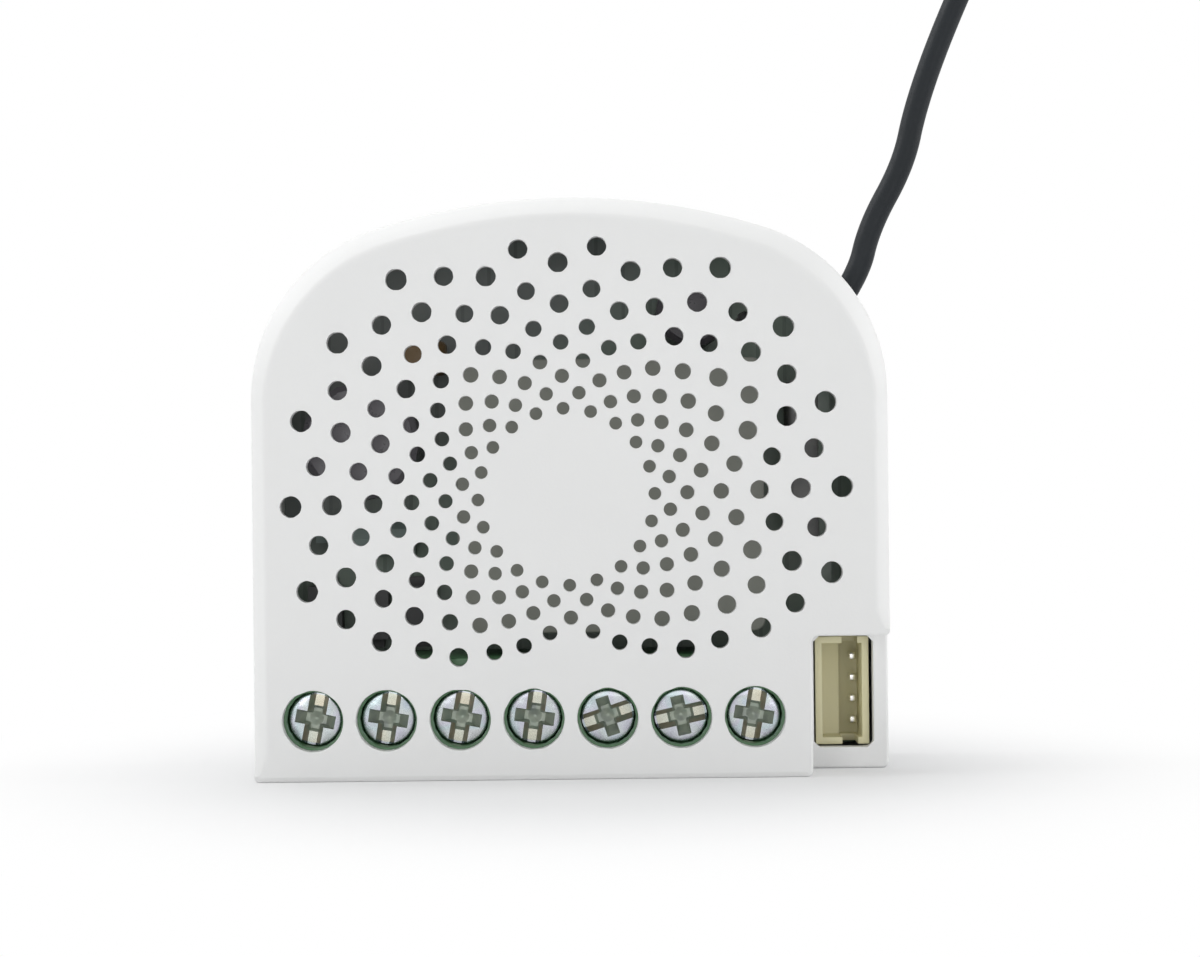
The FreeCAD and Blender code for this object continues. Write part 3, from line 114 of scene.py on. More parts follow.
# Screw, with its combination drive: a slot with sloped sides over a tapered cross. The slot
# cuts what lies above RIM_LEVEL, and points nearer than SCREW_MERGE are joined.
HEAD_RADIUS, HEAD_DEPTH, HEAD_HEIGHT = 1.8, 2.0, 1.6
HEAD_EDGE, HEAD_UNDER_EDGE, HEAD_SIDES = 0.13, 0.05, 80
RIM_LEVEL, SCREW_MERGE = -0.5, 0.002
SHANK_RADIUS, SHANK_END, SHANK_TIP = 1.25, 7.1, 0.15
SLOT_HALF, SLOT_FLOOR, SLOT_DEPTH, SLOT_STEPS = 0.65, 0.30, 0.75, 12
ARM_START, ARM_REACH, ARM_HALF, CROSS_DEPTH = 0.2, 1.33, 0.425, 1.05
LIP, SIDE_TAPER, END_TAPER = 0.03, 0.13, 0.62
CORE, CORE_SIDES, CORE_TAPER = 0.70, 32, SIDE_TAPER + 0.05
PIT_DEPTH, PIT_START, PIT_END = 0.2, 0.2, 0.62
DRIVE_GRID, DRIVE_REACH = 0.05, 1.45

# The screw's materials, after that of the head itself: the slot's slopes darkened as painted
# shade and reflection, the recess darkened partly as tarnish and partly as painted shade, and
# the slot's floor lightened as a painted reflection
SLOPE_PAINTED_SHADE, RECESS_TARNISH_AND_SHADE, SLOT_FLOOR_PAINTED_REFLECTION = 1, 2, 3

# Header pins: the row's place, its lowest pin and pitch, the half side of a closed-up hole,
# and how far from its pin a point of the hole lies at most
PIN_X, PIN_Z, PIN_PITCH, PINS = 19.77, 3.1, 1.5, 4
PIN_HOLE, PIN_NEAR = 0.17, 0.3

# Vents: the field's centre and its turn in degrees; ring by ring, radius of the ring and
# diameter of its holes; holes of a full ring and the degrees between them, number of full
# rings, and holes left out at the top of the last one
VENT_CENTRE = (-0.25, 19.16)
VENT_TURN = 1.5
VENT_RINGS = [
    (6.0, 0.82), (7.1, 0.87), (8.2, 0.92), (9.3, 0.96), (10.5, 1.02), (11.6, 1.07),
    (13.1, 1.23), (14.2, 1.18), (15.9, 1.33), (17.1, 1.28), (18.7, 1.43),
]
VENT_SLOTS, VENT_STEP, FULL_RINGS, TOP_GAP = 20, 18, 4, 3

# Aerial: x, y and z along its middle
AERIAL_ROUTE = [
    (18.17, -0.5, 31.38), (20.35, -0.5, 34.3), (21.2, -0.4, 37.9), (23.7, -0.2, 42.3),
    (24.6, 0.0, 46.4), (26.7, 0.3, 52.0), (29.9, 0.6, 58.9), (33.7, 1.0, 66.0),
    (36.6, 1.4, 73.8), (38.2, 1.8, 82.0), (38.6, 2.1, 90.3), (37.9, 2.3, 98.4),
    (36.5, 2.4, 106.2),
]
WIRE_DIAMETER = 1.65

# Noise scales, in cycles per metre, and the scale of the board's tracks
SLOW_NOISE, MARK_NOISE, WEAVE_NOISE, TRACK_SCALE = 140, 9000, 3000, 260

# Board: two tones of its resist, and that of the runs between them; a tint comes in along
# one direction, between two distances in metres
BOARD_TONES = ((0.135, 0.19, 0.15), (0.155, 0.215, 0.165), (0.098, 0.145, 0.11))
BOARD_TINT, TINT_DIRECTION = (0.76, 0.63, 0.76), (-0.8, 0.0, 1.0)
TINT_START, TINT_END = 0.026, 0.034

# Softened copies: merging distance in metres, and the angles under which faces are joined and
# shaded as one
MERGE, FLAT_ANGLE, SMOOTH_ANGLE = 2e-7, math.radians(1.5), math.radians(35)
SCREW_SMOOTH_ANGLE = math.radians(32)

# Camera: place in millimetres, lens in millimetres and roll in degrees
CAMERA_PLACE = (2.04, -208.5, 20.37)
CAMERA_LENS, CAMERA_ROLL = 88.6, -0.64

# Floor: its size and level, its tone near the object, darkened there as painted shade, and its
# open tone far off, and the ellipse over which it fades to white, with the share of white it
# starts from
FLOOR_REACH, FLOOR_LEVEL = 3.0, -1e-5
# The tone near the object is painted shade: the floor's own colour is made darker there than
# far off.
FLOOR_PAINTED_SHADE, FLOOR_FAR = (0.70, 0.702, 0.706), (0.88, 0.881, 0.883)
FADE_WIDTH, FADE_LENGTH = 0.036, 0.045
FADE_START, FADE_END, FADE_LEAST = 0.48, 1.45, 0.18

# Light from all round, in front of the object and behind it
WORLD_FRONT, WORLD_BACK, WORLD_TINT = 0.36, 0.75, (0.985, 0.995, 1.0, 1)


# Materials

class Nodes:
    """Short ways to build one material's node tree."""

    def __init__(self, name):
        self.material = bpy.data.materials.new(name)
        self.material.use_nodes = True
        self.tree = self.material.node_tree
        self.shader = self.tree.nodes["Principled BSDF"]
        self.place = self.tree.nodes.new("ShaderNodeTexCoord").outputs["Object"]

    def add(self, kind, **settings):
        node = self.tree.nodes.new(kind)
        for key, setting in settings.items():
            setattr(node, key, setting)
        return node

    def link(self, start, end):
        self.tree.links.new(start, end)

    def noise(self, scale, detail=2.0, rough=0.5):
        """Noise over the surface; scale is in cycles per metre."""
        noise = self.add("ShaderNodeTexNoise")
        noise.inputs["Scale"].default_value = scale
        noise.inputs["Detail"].default_value = detail
        noise.inputs["Roughness"].default_value = rough
        self.link(self.place, noise.inputs["Vector"])
        return noise.outputs["Fac"]

    def ramp(self, value, stops):
        """A colour ramp; stops are (position, colour)."""
        ramp = self.add("ShaderNodeValToRGB")
        elements = ramp.color_ramp.elements
        while len(elements) < len(stops):
            elements.new(0.5)
        for element, (position, colour) in zip(elements, stops):
            element.position = position
            element.color = (*colour, 1)
        self.link(value, ramp.inputs["Fac"])
        return ramp.outputs["Color"]

    def span(self, value, low, high, start=0.3, end=0.7, curve="LINEAR"):
        """Map the values from start to end to a range."""
        spread = self.add("ShaderNodeMapRange", interpolation_type=curve)
        spread.inputs["From Min"].default_value = start
        spread.inputs["From Max"].default_value = end
        spread.inputs["To Min"].default_value = low
        spread.inputs["To Max"].default_value = high
        self.link(value, spread.inputs["Value"])
        return spread.outputs["Result"]

    def bump(self, layers):
        """Stack bumps; layers are (height, strength, distance in metres)."""
        normal = None
        for height, strength, distance in layers:
            bump = self.add("ShaderNodeBump")
            bump.inputs["Strength"].default_value = strength
            bump.inputs["Distance"].default_value = distance
            self.link(height, bump.inputs["Height"])
            if normal:
                self.link(normal, bump.inputs["Normal"])
            normal = bump.outputs["Normal"]
        self.link(normal, self.shader.inputs["Normal"])


def shade(tone, factor):
    """A tone made lighter or darker."""
    return tuple(min(1.0, channel * factor) for channel in tone)


def moulded(name, tone, roughness, grain=5200, depth=0.000012, uneven=0.03, spread=0.05,
            gloss=0.5):
    """Moulded plastic: a fine spark-eroded grain, slow unevenness and slight mottling."""
    make = Nodes(name)
    slow = make.noise(SLOW_NOISE)
    fine = make.noise(grain, 3.0, 0.6)
    colour = make.ramp(slow, [(0.3, shade(tone, 1 - uneven)), (0.7, shade(tone, 1 + uneven))])
    make.link(colour, make.shader.inputs["Base Color"])
    make.link(make.span(fine, roughness - spread, roughness + spread),
              make.shader.inputs["Roughness"])
    make.shader.inputs["IOR"].default_value = 1.5
    make.shader.inputs["Specular IOR Level"].default_value = gloss
    make.bump([(slow, 0.25, 0.00004), (fine, 0.5, depth)])
    return make.material


def plated(name, tones, roughness, scale=900, metal=1.0):
    """Plated metal: a thin passivated film whose tint drifts, and fine tool marks."""
    make = Nodes(name)
    drift = make.noise(scale, 1.5)
    marks = make.noise(MARK_NOISE, 2.0, 0.6)
    stops = [(0.28 + 0.44 * index / (len(tones) - 1), tone) for index, tone in enumerate(tones)]
    make.link(make.ramp(drift, stops), make.shader.inputs["Base Color"])
    make.shader.inputs["Metallic"].default_value = metal
    make.link(make.span(marks, roughness - 0.05, roughness + 0.06),
              make.shader.inputs["Roughness"])
    make.bump([(drift, 0.07, 0.00002), (marks, 0.08, 0.000002)])
    return make.material


def board_material(name, tone):
    """Solder resist over the laminate's weave, with slightly raised, darker runs."""
    make = Nodes(name)
    brick = make.add("ShaderNodeTexBrick")
    brick.inputs["Scale"].default_value = TRACK_SCALE
    brick.inputs["Mortar Size"].default_value = 0.035
    for socket, colour in zip(("Color1", "Color2", "Mortar"), BOARD_TONES):
        brick.inputs[socket].default_value = (*shade(colour, tone), 1)
    make.link(make.place, brick.inputs["Vector"])
    slope = make.add("ShaderNodeVectorMath", operation="DOT_PRODUCT")
    slope.inputs[1].default_value = TINT_DIRECTION
    make.link(make.place, slope.inputs[0])
    shift = make.span(slope.outputs["Value"], 0.0, 1.0, TINT_START, TINT_END)
    tint = make.add("ShaderNodeMix", data_type="RGBA", blend_type="MULTIPLY")
    tint.inputs["B"].default_value = (*BOARD_TINT, 1)
    make.link(shift, tint.inputs["Factor"])
    make.link(brick.outputs["Color"], tint.inputs["A"])
    make.link(tint.outputs["Result"], make.shader.inputs["Base Color"])
    weave = make.noise(WEAVE_NOISE, 1.0)
    make.shader.inputs["Coat Weight"].default_value = 0.4
    make.shader.inputs["Coat Roughness"].default_value = 0.15
    make.link(make.span(weave, 0.28, 0.42), make.shader.inputs["Roughness"])
    make.bump([(brick.outputs["Fac"], 0.3, 0.00003), (weave, 0.2, 0.00001)])
    return make.material


CASE_WHITE = moulded("case_white", (0.80, 0.802, 0.797), 0.50, uneven=0.006)
BLOCK_GREEN = moulded("block_green", (0.08, 0.195, 0.09), 0.38, 4200)
IVORY = moulded("header_ivory", (0.70, 0.66, 0.42), 0.42, 4200)
SUPPLY_GREY = moulded("supply_grey", (0.178, 0.184, 0.162), 0.55, 2600, 0.00002, 0.08)
DISC_ORANGE = moulded("disc_orange", (0.12, 0.075, 0.03), 0.32, 1800, 0.00002, 0.1)
FUSE_GREY = moulded("fuse_grey", (0.20, 0.25, 0.235), 0.6, 1600, 0.00003, 0.1)
SLEEVE_BLACK = moulded("sleeve_black", (0.062, 0.058, 0.066), 0.3, 1500, 0.00001, 0.1)
CHIP_BLACK = moulded("chip_black", (0.075, 0.074, 0.078), 0.5, 4000)
ZINC = plated("screw_zinc", [(0.45, 0.51, 0.58), (0.50, 0.54, 0.54), (0.50, 0.50, 0.57),
                             (0.45, 0.53, 0.55), (0.53, 0.54, 0.55)], 0.24, 500)
# The slot's floor: a lighter, warmer copy of the zinc, a painted reflection.
ZINC_FLOOR_PAINTED_REFLECTION = plated("screw_slot_painted_reflection", [(0.58, 0.54, 0.43), (0.51, 0.54, 0.48)], 0.28, 500)
# The slot's slopes: a darker, browner copy of the zinc, painted shade and painted reflection of
# dark surroundings.
ZINC_SLOPE_PAINTED_SHADE = plated("screw_slope_painted_shade", [(0.33, 0.29, 0.20), (0.40, 0.36, 0.29),
                                    (0.27, 0.32, 0.26)], 0.36, metal=0.45)
# The cross recess: a darker copy of the zinc, partly tarnish in the hollow and partly painted
# shade.
ZINC_RECESS_TARNISH_AND_SHADE = plated("screw_recess_tarnish_and_shade", [(0.30, 0.36, 0.31), (0.40, 0.44, 0.37),
                                      (0.28, 0.31, 0.29)], 0.42, metal=0.35)
CAGE_ZINC = plated("cage_zinc", [(0.62, 0.65, 0.68), (0.70, 0.71, 0.70)], 0.33)
CONTACT_TIN = plated("contact_tin", [(0.72, 0.70, 0.64), (0.80, 0.78, 0.72)], 0.3)
PIN_TIN = plated("pin_tin", [(0.86, 0.85, 0.80), (0.92, 0.91, 0.88)], 0.2)
SHIELD_TIN = plated("shield_tin", [(0.13, 0.13, 0.13), (0.17, 0.17, 0.165)], 0.55, metal=0.4)
BOARD_GREEN = board_material("board_green", 1.0)
RADIO_GREEN = board_material("radio_green", 0.4)
WIRE_BLACK = moulded("wire_black", (0.011, 0.014, 0.017), 0.5, 2600, 0.000014, 0.08,
                     gloss=0.22)


# Mesh building

def triangulate(flat, edges):
    """Points and triangles between crease lines; points are added where lines cross."""
    found, _, triangles, *_ = delaunay_2d_cdt(flat, edges, [], 1, 1e-6)
    return found, [(triangle, sum((found[corner] for corner in triangle), Vector((0, 0))) / 3)
                   for triangle in triangles]


class Shape:
    """Points with their own normals, and faces, gathered for one mesh."""

    def __init__(self):
        self.points = []
        self.normals = []
        self.faces = []

    def point(self, x, z, depth, normal):
        """A point, and its normal as x, z and depth."""
        self.points.append(Vector((x * MM, (FACE_Y + depth) * MM, z * MM)))
        self.normals.append(Vector((normal[0], normal[2], normal[1])).normalized())
        return len(self.points) - 1

    def face(self, corners):
        """A face turned to agree with its points' normals; one with no area is dropped."""
        kept = []
        for corner in corners:
            if all((self.points[corner] - self.points[other]).length > SAME_POINT
                   for other in kept):
                kept.append(corner)
        if len(kept) < 3:
            return
        across = (self.points[kept[1]] - self.points[kept[0]]).cross(
            self.points[kept[-1]] - self.points[kept[0]])
        towards = sum((self.normals[corner] for corner in kept), Vector())
        if across.length < NO_AREA:
            return
        self.faces.append(kept if across.dot(towards) > 0 else kept[::-1])

    def strip(self, rows, closed=False):
        """Quads between rows of points."""
        for first, second in zip(rows, rows[1:]):
            count = len(first)
            for index in range(count if closed else count - 1):
                after = (index + 1) % count
                self.face([first[index], first[after], second[after], second[index]])

    def sheet(self, loops, place, rings=()):
        """Fill between closed loops of (u, v); place turns them into points.

        rings are (u, v, radius) of round holes whose loops are among the loops.
        """
        flat = []
        edges = []
        for loop in loops:
            first = len(flat)
            flat += [Vector(pair) for pair in loop]
            edges += [(first + index, first + (index + 1) % len(loop))
                      for index in range(len(loop))]
        found, triangles = triangulate(flat, edges)
        indices = [place(spot.x, spot.y) for spot in found]
        cells = {}
        for u, v, radius in rings:
            cells.setdefault((round(u), round(v)), []).append((Vector((u, v)), radius))
        for triangle, middle in triangles:
            near = [ring for du in range(-2, 3) for dv in range(-2, 3)
                    for ring in cells.get((round(middle.x) + du, round(middle.y) + dv), ())]
            if all((middle - centre).length > radius for centre, radius in near):
                self.face([indices[corner] for corner in triangle])

    def make(self, name, material):
        """The mesh object, smooth, with the gathered normals."""
        mesh = bpy.data.meshes.new(name)
        mesh.from_pydata(self.points, [], self.faces)
        mesh.polygons.foreach_set("use_smooth", [True] * len(mesh.polygons))
        mesh.normals_split_custom_set_from_vertices([tuple(normal) for normal in self.normals])
        mesh.materials.append(material)
        piece = bpy.data.objects.new(name, mesh)
        bpy.context.scene.collection.objects.link(piece)
        return piece


class Station:
    """One place on an outline: its point, outward normal, edge size and drift with draft."""

    def __init__(self, x, z, normal, edge, drift=(0.0, 0.0)):
        self.x = x
        self.z = z
        self.normal = normal
        self.edge = edge
        self.drift = drift

    def at(self, inset, grow):
        """Its place, moved in against the normal and out along the drift."""
        return (self.x - self.normal[0] * inset + self.drift[0] * grow,
                self.z - self.normal[1] * inset + self.drift[1] * grow)


def plan_corner(x, z, start, edges, drift):
    """A convex corner rounded in plan; x, z is its centre, start its first angle."""
    stations = []
    for step in range(PLAN_STEPS + 1):
        angle = math.radians(start + 90 * step / PLAN_STEPS)
        normal = (math.cos(angle), math.sin(angle))
        edge = edges[0] + (edges[1] - edges[0]) * step / PLAN_STEPS
        stations.append(Station(x + PLAN_ROUND * normal[0], z + PLAN_ROUND * normal[1], normal,
                                edge, drift))
    return stations


def foot_corner(side):
    """The corner at the foot of the left side, -1, or the right one, 1."""
    return plan_corner(side * (HALF_WIDTH - PLAN_ROUND), PLAN_ROUND, 225 + 45 * side,
                       (FOOT_EDGE, FOOT_EDGE), (side, 0.0))


def arch(edge_side, edge_top, right_low, left_low, end_edges):
    """The outline from the right side over the crown and down the left side.

    The straight sides start at right_low and left_low, with end_edges as their edges there.
    """
    crown_z = HEIGHT - CROWN
    corner_x = HALF_WIDTH - CORNER
    rise = math.sqrt((CROWN - CORNER) ** 2 - corner_x ** 2)
    corner_z = crown_z + rise
    swing = math.atan2(rise, corner_x)
    shoulder = SHOULDER_EDGE if edge_top > edge_side else 0.0
    stations = []

    def side(sign, low, end_edge, steps):
        """The foot of a straight side, where the edge takes on its full size."""
        for step in steps:
            share = step / RAMP_STEPS
            stations.append(Station(sign * HALF_WIDTH, low + EDGE_RAMP * share, (sign, 0.0),
                                    end_edge + (edge_side - end_edge) * share, (sign, 0.0)))

    side(1, right_low, end_edges[0], range(RAMP_STEPS + 1))
    runs = [(corner_x, corner_z, CORNER, 0.0, swing, CORNER_STEPS, 0),
            (0.0, crown_z, CROWN, swing, math.pi - swing, CROWN_STEPS, 1),
            (-corner_x, corner_z, CORNER, math.pi - swing, math.pi, CORNER_STEPS, 0)]
    for x, z, radius, start, end, steps, skipped in runs:
        for step in range(skipped, steps + 1 - skipped):
            angle = start + (end - start) * step / steps
            normal = (math.cos(angle), math.sin(angle))
            edge = edge_side + (edge_top - edge_side) * max(0.0, normal[1])
            edge += shoulder * abs(math.sin(2 * angle))
            stations.append(Station(x + radius * normal[0], z + radius * normal[1],
                                    normal, edge, normal))
    side(-1, left_low, end_edges[1], range(RAMP_STEPS, -1, -1))
    return stations


def quarter(size, steps):
    """Levels of a rounding: inset, drop, share facing the face, share facing sideways."""
    angles = [math.pi / 2 * step / steps for step in range(steps + 1)]
    return [(size * (1 - math.sin(angle)), size * (1 - math.cos(angle)),
             math.cos(angle), math.sin(angle)) for angle in angles]


def rounded(station, from_depth):
    """Levels of an edge rounding that starts on a face at from_depth."""
    return [(inset, from_depth + drop, front, out)
            for inset, drop, front, out in quarter(station.edge, EDGE_STEPS)]


def bevelled(station):
    """Levels of the vented face's edge: a broad slope with both its borders rounded."""
    footward = max(0.0, -station.normal[1])
    knots = [(0.0, 0.0),
             *((share, angle - flatter * footward) for share, angle, flatter
               in zip(SLOPE_RUN, SLOPE_ANGLES, FOOT_FLATTER)),
             (1.0, 90.0)]
    turns = []
    for (start, first), (end, last) in zip(knots, knots[1:]):
        turns += [(start + (end - start) * step / SLOPE_STEPS,
                   first + (last - first) * step / SLOPE_STEPS)
                  for step in range(SLOPE_STEPS)]
    turns.append(knots[-1])
    run = [(0.0, 0.0)]
    for (start, first), (end, last) in zip(turns, turns[1:]):
        middle = math.radians((first + last) / 2)
        run.append((run[-1][0] + (end - start) * math.cos(middle),
                    run[-1][1] + (end - start) * math.sin(middle)))
    whole = run[-1][0]
    return [(station.edge * (1 - across / whole), station.edge * down / whole,
             math.cos(math.radians(angle)), math.sin(math.radians(angle)))
            for (across, down), (_, angle) in zip(run, turns)]


def walls(shape, stations, levels_of, grow_at, facing=-1):
    """Rows of points through all stations, level by level, joined by quads.

    levels_of gives (inset, depth, share facing the face, share facing sideways).
    """
    table = [levels_of(station) for station in stations]
    rows = []
    for level in range(len(table[0])):
        row = []
        for station, levels in zip(stations, table):
            inset, depth, front, out = levels[level]
            lean = SIDE_LEAN * abs(station.drift[0] * station.normal[0]) * max(
                0.0, 1 - depth / NOTCH_DEPTH)
            x, z = station.at(inset + lean, grow_at(depth))
            slope = math.hypot(*station.drift) * out * (
                COVER_DRAFT if facing < 0 else SHELL_DRAFT)
            row.append(shape.point(x, z, depth, (station.normal[0] * out,
                                                 station.normal[1] * out,
                                                 facing * (front + slope))))
        rows.append(row)
    shape.strip(rows)
    return rows


def circle(x, z, radius, sides):
    """Corners of a regular polygon, the first to the right of its centre."""
    return [(x + radius * math.cos(2 * math.pi * step / sides),
             z + radius * math.sin(2 * math.pi * step / sides)) for step in range(sides)]


def mouth(edge):
    """Levels of an opening's softened mouth, carried down through the wall."""
    return quarter(edge, MOUTH_STEPS) + [(0.0, WALL, 0.0, 1.0)]


def hole(shape, x, z, radius, sides, edge):
    """A round hole through the face's wall."""
    rows = []
    for spread, level, front, inward in mouth(edge):
        reach = radius + spread
        rows.append([shape.point(px, pz, level, ((x - px) / reach * inward,
                                                 (z - pz) / reach * inward, -front))
                     for px, pz in circle(x, z, reach, sides)])
    shape.strip(rows, True)


def vent_places():
    """Centre and radius of every vent."""
    places = []
    for ring, (radius, diameter) in enumerate(VENT_RINGS, 1):
        if ring <= FULL_RINGS:
            runs = [(VENT_STEP / 2 * ((ring + 1) % 2), VENT_SLOTS)]
        else:
            missing = ring - FULL_RINGS
            start = 270 + VENT_STEP / 2 * (missing + 1)
            count = VENT_SLOTS - missing
            runs = [(start, count)]
            if ring == len(VENT_RINGS):
                side = (count - TOP_GAP) // 2
                runs = [(start, side), (start + VENT_STEP * (side + TOP_GAP), side)]
        for start, count in runs:
            for index in range(count):
                angle = math.radians(VENT_TURN + start + VENT_STEP * index)
                places.append((VENT_CENTRE[0] + radius * math.cos(angle),
                               VENT_CENTRE[1] + radius * math.sin(angle), diameter / 2))
    return places


def cover_grow(depth):
    """How far the cover's sides stand out at a depth, by their draft."""
    return depth * COVER_DRAFT


def shell_grow(depth):
    """How far the shell's sides stand out at a depth, by their draft."""
    return JOINT * COVER_DRAFT - (depth - JOINT) * SHELL_DRAFT


def loop_of(shape, row):
    """The flat places of a row of points."""
    return [(shape.points[index].x / MM, shape.points[index].z / MM) for index in row]


def to_groove(levels):
    """Levels of the cover's edge, carried down to the groove along the joint."""
    return levels + [(0.0, JOINT - JOINT_GROOVE, 0.0, 1.0), (JOINT_GROOVE, JOINT, 0.0, 1.0)]


def add_lining(shape, outline, ends):
    """The inside of an arched wall; ends are its two (inset, growth, depth)."""
    shape.strip([[shape.point(*station.at(inset, grow), depth,
                              (-station.normal[0], -station.normal[1], 0))
                  for station in outline] for inset, grow, depth in ends])


def add_window(shape, depth, facing):
    """The edges of the foot's opening, from the joint to its end at a depth."""
    for (x1, d1), (x2, d2), normal in (
            ((WINDOW_LEFT, depth), (WINDOW_RIGHT, depth), (0, 0, facing)),
            ((WINDOW_LEFT, depth), (WINDOW_LEFT, JOINT), (1, 0, 0)),
            ((WINDOW_RIGHT, depth), (WINDOW_RIGHT, JOINT), (-1, 0, 0))):
        shape.strip([[shape.point(x1, z, d1, normal), shape.point(x2, z, d2, normal)]
                     for z in (0.0, WALL)])


def add_face(shape, outline):
    """The vented face with its holes, and the cover's inside."""
    holes = [(x, z, radius + VENT_EASE, VENT_SIDES, VENT_EDGE)
             for x, z, radius in vent_places()]
    holes += [(POLE_X + POLE_PITCH * index, POLE_Z, ACCESS_RADIUS, ACCESS_SIDES, ACCESS_EDGE)
              for index in range(POLES)]
    mouths = [circle(x, z, radius + edge, sides) for x, z, radius, sides, edge in holes]
    shape.sheet([outline] + mouths, lambda u, v: shape.point(u, v, 0.0, (0, 0, -1)),
                [(x, z, radius) for x, z, radius, _, _ in holes])
    for x, z, radius, sides, edge in holes:
        hole(shape, x, z, radius, sides, edge)

    inside = WALL - WALL * COVER_DRAFT
    lining = arch(0, 0, NOTCH_Z + WALL, WALL, (0, 0))
    inner = [station.at(inside, 0.0) for station in lining]
    inner += [(NOTCH_X - WALL, WALL), (NOTCH_X - WALL, NOTCH_Z + WALL)]
    wells = [circle(x, z, radius, sides) for x, z, radius, sides, _ in holes]
    shape.sheet([inner] + wells, lambda u, v: shape.point(u, v, WALL, (0, 0, 1)),
                [(x, z, radius - CHORD_SLACK) for x, z, radius, _, _ in holes])
    add_lining(shape, lining, ((inside, 0.0, WALL), (WALL, cover_grow(JOINT), JOINT)))
    for (x1, z1), (x2, z2), normal in (
            ((NOTCH_X - WALL, WALL), (NOTCH_X - WALL, NOTCH_Z + WALL), (-1, 0, 0)),
            ((NOTCH_X - WALL, NOTCH_Z + WALL), (HALF_WIDTH - WALL, NOTCH_Z + WALL), (0, 1, 0)),
            ((WALL - HALF_WIDTH, WALL), (NOTCH_X - WALL, WALL), (0, 1, 0))):
        shape.strip([[shape.point(x1, z1, depth, normal), shape.point(x2, z2, depth, normal)]
                     for depth in (WALL, NOTCH_DEPTH + WALL)])


def add_plug_corner(shape, notch_row):
    """The plate in the stepped corner, with the header's port and the block under it."""
    block_run = [Station(NOTCH_X - PLAN_ROUND, 0.0, (0.0, -1.0), PLATE_EDGE),
                 *plan_corner(HALF_WIDTH - PLAN_ROUND, PLAN_ROUND, 270,
                              (PLATE_EDGE, PLATE_EDGE), (1.0, 0.0)),
                 Station(HALF_WIDTH, NOTCH_Z + PLAN_ROUND, (1.0, 0.0), PLATE_EDGE, (1.0, 0.0))]
    block_rows = walls(shape, block_run, lambda s: to_groove(rounded(s, NOTCH_DEPTH)),
                       cover_grow)
    plate_loop = loop_of(shape, notch_row) + loop_of(shape, block_rows[0])[::-1]
    shape.sheet([plate_loop, port_loop(ACCESS_EDGE)],
                lambda u, v: shape.point(u, v, NOTCH_DEPTH, (0, 0, -1)),
                [((PORT_LEFT + PORT_RIGHT) / 2, PORT_LOW + height, DISC_RADIUS)
                 for height in PORT_DISCS])
    rows = []
    for spread, drop, front, inward in mouth(ACCESS_EDGE):
        rows.append([shape.point(x, z, NOTCH_DEPTH + drop, (-nx * inward, -nz * inward, -front))
                     for (x, z), (_, _, nx, nz) in zip(port_loop(spread), port_stations())])
    shape.strip(rows, True)


def build_cover():
    """The vented face with its drafted sides and the stepped corner."""
    shape = Shape()
    left_corner = foot_corner(-1)
    notch_foot = plan_corner(NOTCH_X - PLAN_ROUND, PLAN_ROUND, 270,
                             (FOOT_EDGE, NOTCH_EDGE), (0.0, 0.0))
    notch_inside = []
    for step in range(NOTCH_STEPS + 1):
        angle = math.radians(180 - 90 * step / NOTCH_STEPS)
        notch_inside.append(Station(NOTCH_X + NOTCH_ROUND * (1 + math.cos(angle)),
                                    NOTCH_Z - NOTCH_ROUND * (1 - math.sin(angle)),
                                    (-math.cos(angle), -math.sin(angle)), NOTCH_EDGE))
    notch_side = plan_corner(HALF_WIDTH - PLAN_ROUND, NOTCH_Z + PLAN_ROUND, 270,
                             (NOTCH_EDGE, FOOT_EDGE), (1.0, 0.0))
    notch_rows = walls(shape, notch_foot + notch_inside + notch_side,
                       lambda s: bevelled(s) + [(0.0, NOTCH_DEPTH, 0.0, 1.0)], cover_grow)
    arch_run = arch(SIDE_EDGE, TOP_EDGE, NOTCH_Z + PLAN_ROUND, PLAN_ROUND,
                    (FOOT_EDGE, FOOT_EDGE)) + left_corner[1:]
    arch_rows = walls(shape, arch_run, lambda s: to_groove(bevelled(s)), cover_grow)
    walls(shape, [left_corner[-1], notch_foot[0]], bevelled, cover_grow)
    add_face(shape, loop_of(shape, notch_rows[0]) + loop_of(shape, arch_rows[0])[1:])
    add_plug_corner(shape, notch_rows[-1])

    left = PLAN_ROUND - HALF_WIDTH
    front = bevelled(left_corner[-1])[-1][1]
    foot = [(left, front), (NOTCH_X - PLAN_ROUND, front), (NOTCH_X - PLAN_ROUND, JOINT),
            (WINDOW_RIGHT, JOINT), (WINDOW_RIGHT, WINDOW_FRONT), (WINDOW_LEFT, WINDOW_FRONT),
            (WINDOW_LEFT, JOINT), (left - cover_grow(JOINT), JOINT)]
    shape.sheet([foot], lambda u, v: shape.point(u, 0.0, v, (0, -1, 0)))
    add_window(shape, WINDOW_FRONT, 1)
    piece = shape.make("front_cover_skin", CASE_WHITE)
    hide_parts("front_cover")
    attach(piece, "case")


def port_stations():
    """Places round the port: corner centre and outward direction."""
    stations = []
    corners = [(PORT_RIGHT, PORT_HIGH, 0), (PORT_LEFT, PORT_HIGH, 90),
               (PORT_LEFT, PORT_LOW, 180), (PORT_RIGHT, PORT_LOW, 270)]
    for x, z, start in corners:
        cx = x - PORT_ROUND if x == PORT_RIGHT else x + PORT_ROUND
        cz = z - PORT_ROUND if z == PORT_HIGH else z + PORT_ROUND
        for step in range(PORT_STEPS + 1):
            angle = math.radians(start + 90 * step / PORT_STEPS)
            stations.append((cx, cz, math.cos(angle), math.sin(angle)))
    return stations


def port_loop(spread):
    """The port's outline, grown by spread."""
    return [(cx + nx * (PORT_ROUND + spread), cz + nz * (PORT_ROUND + spread))
            for cx, cz, nx, nz in port_stations()]


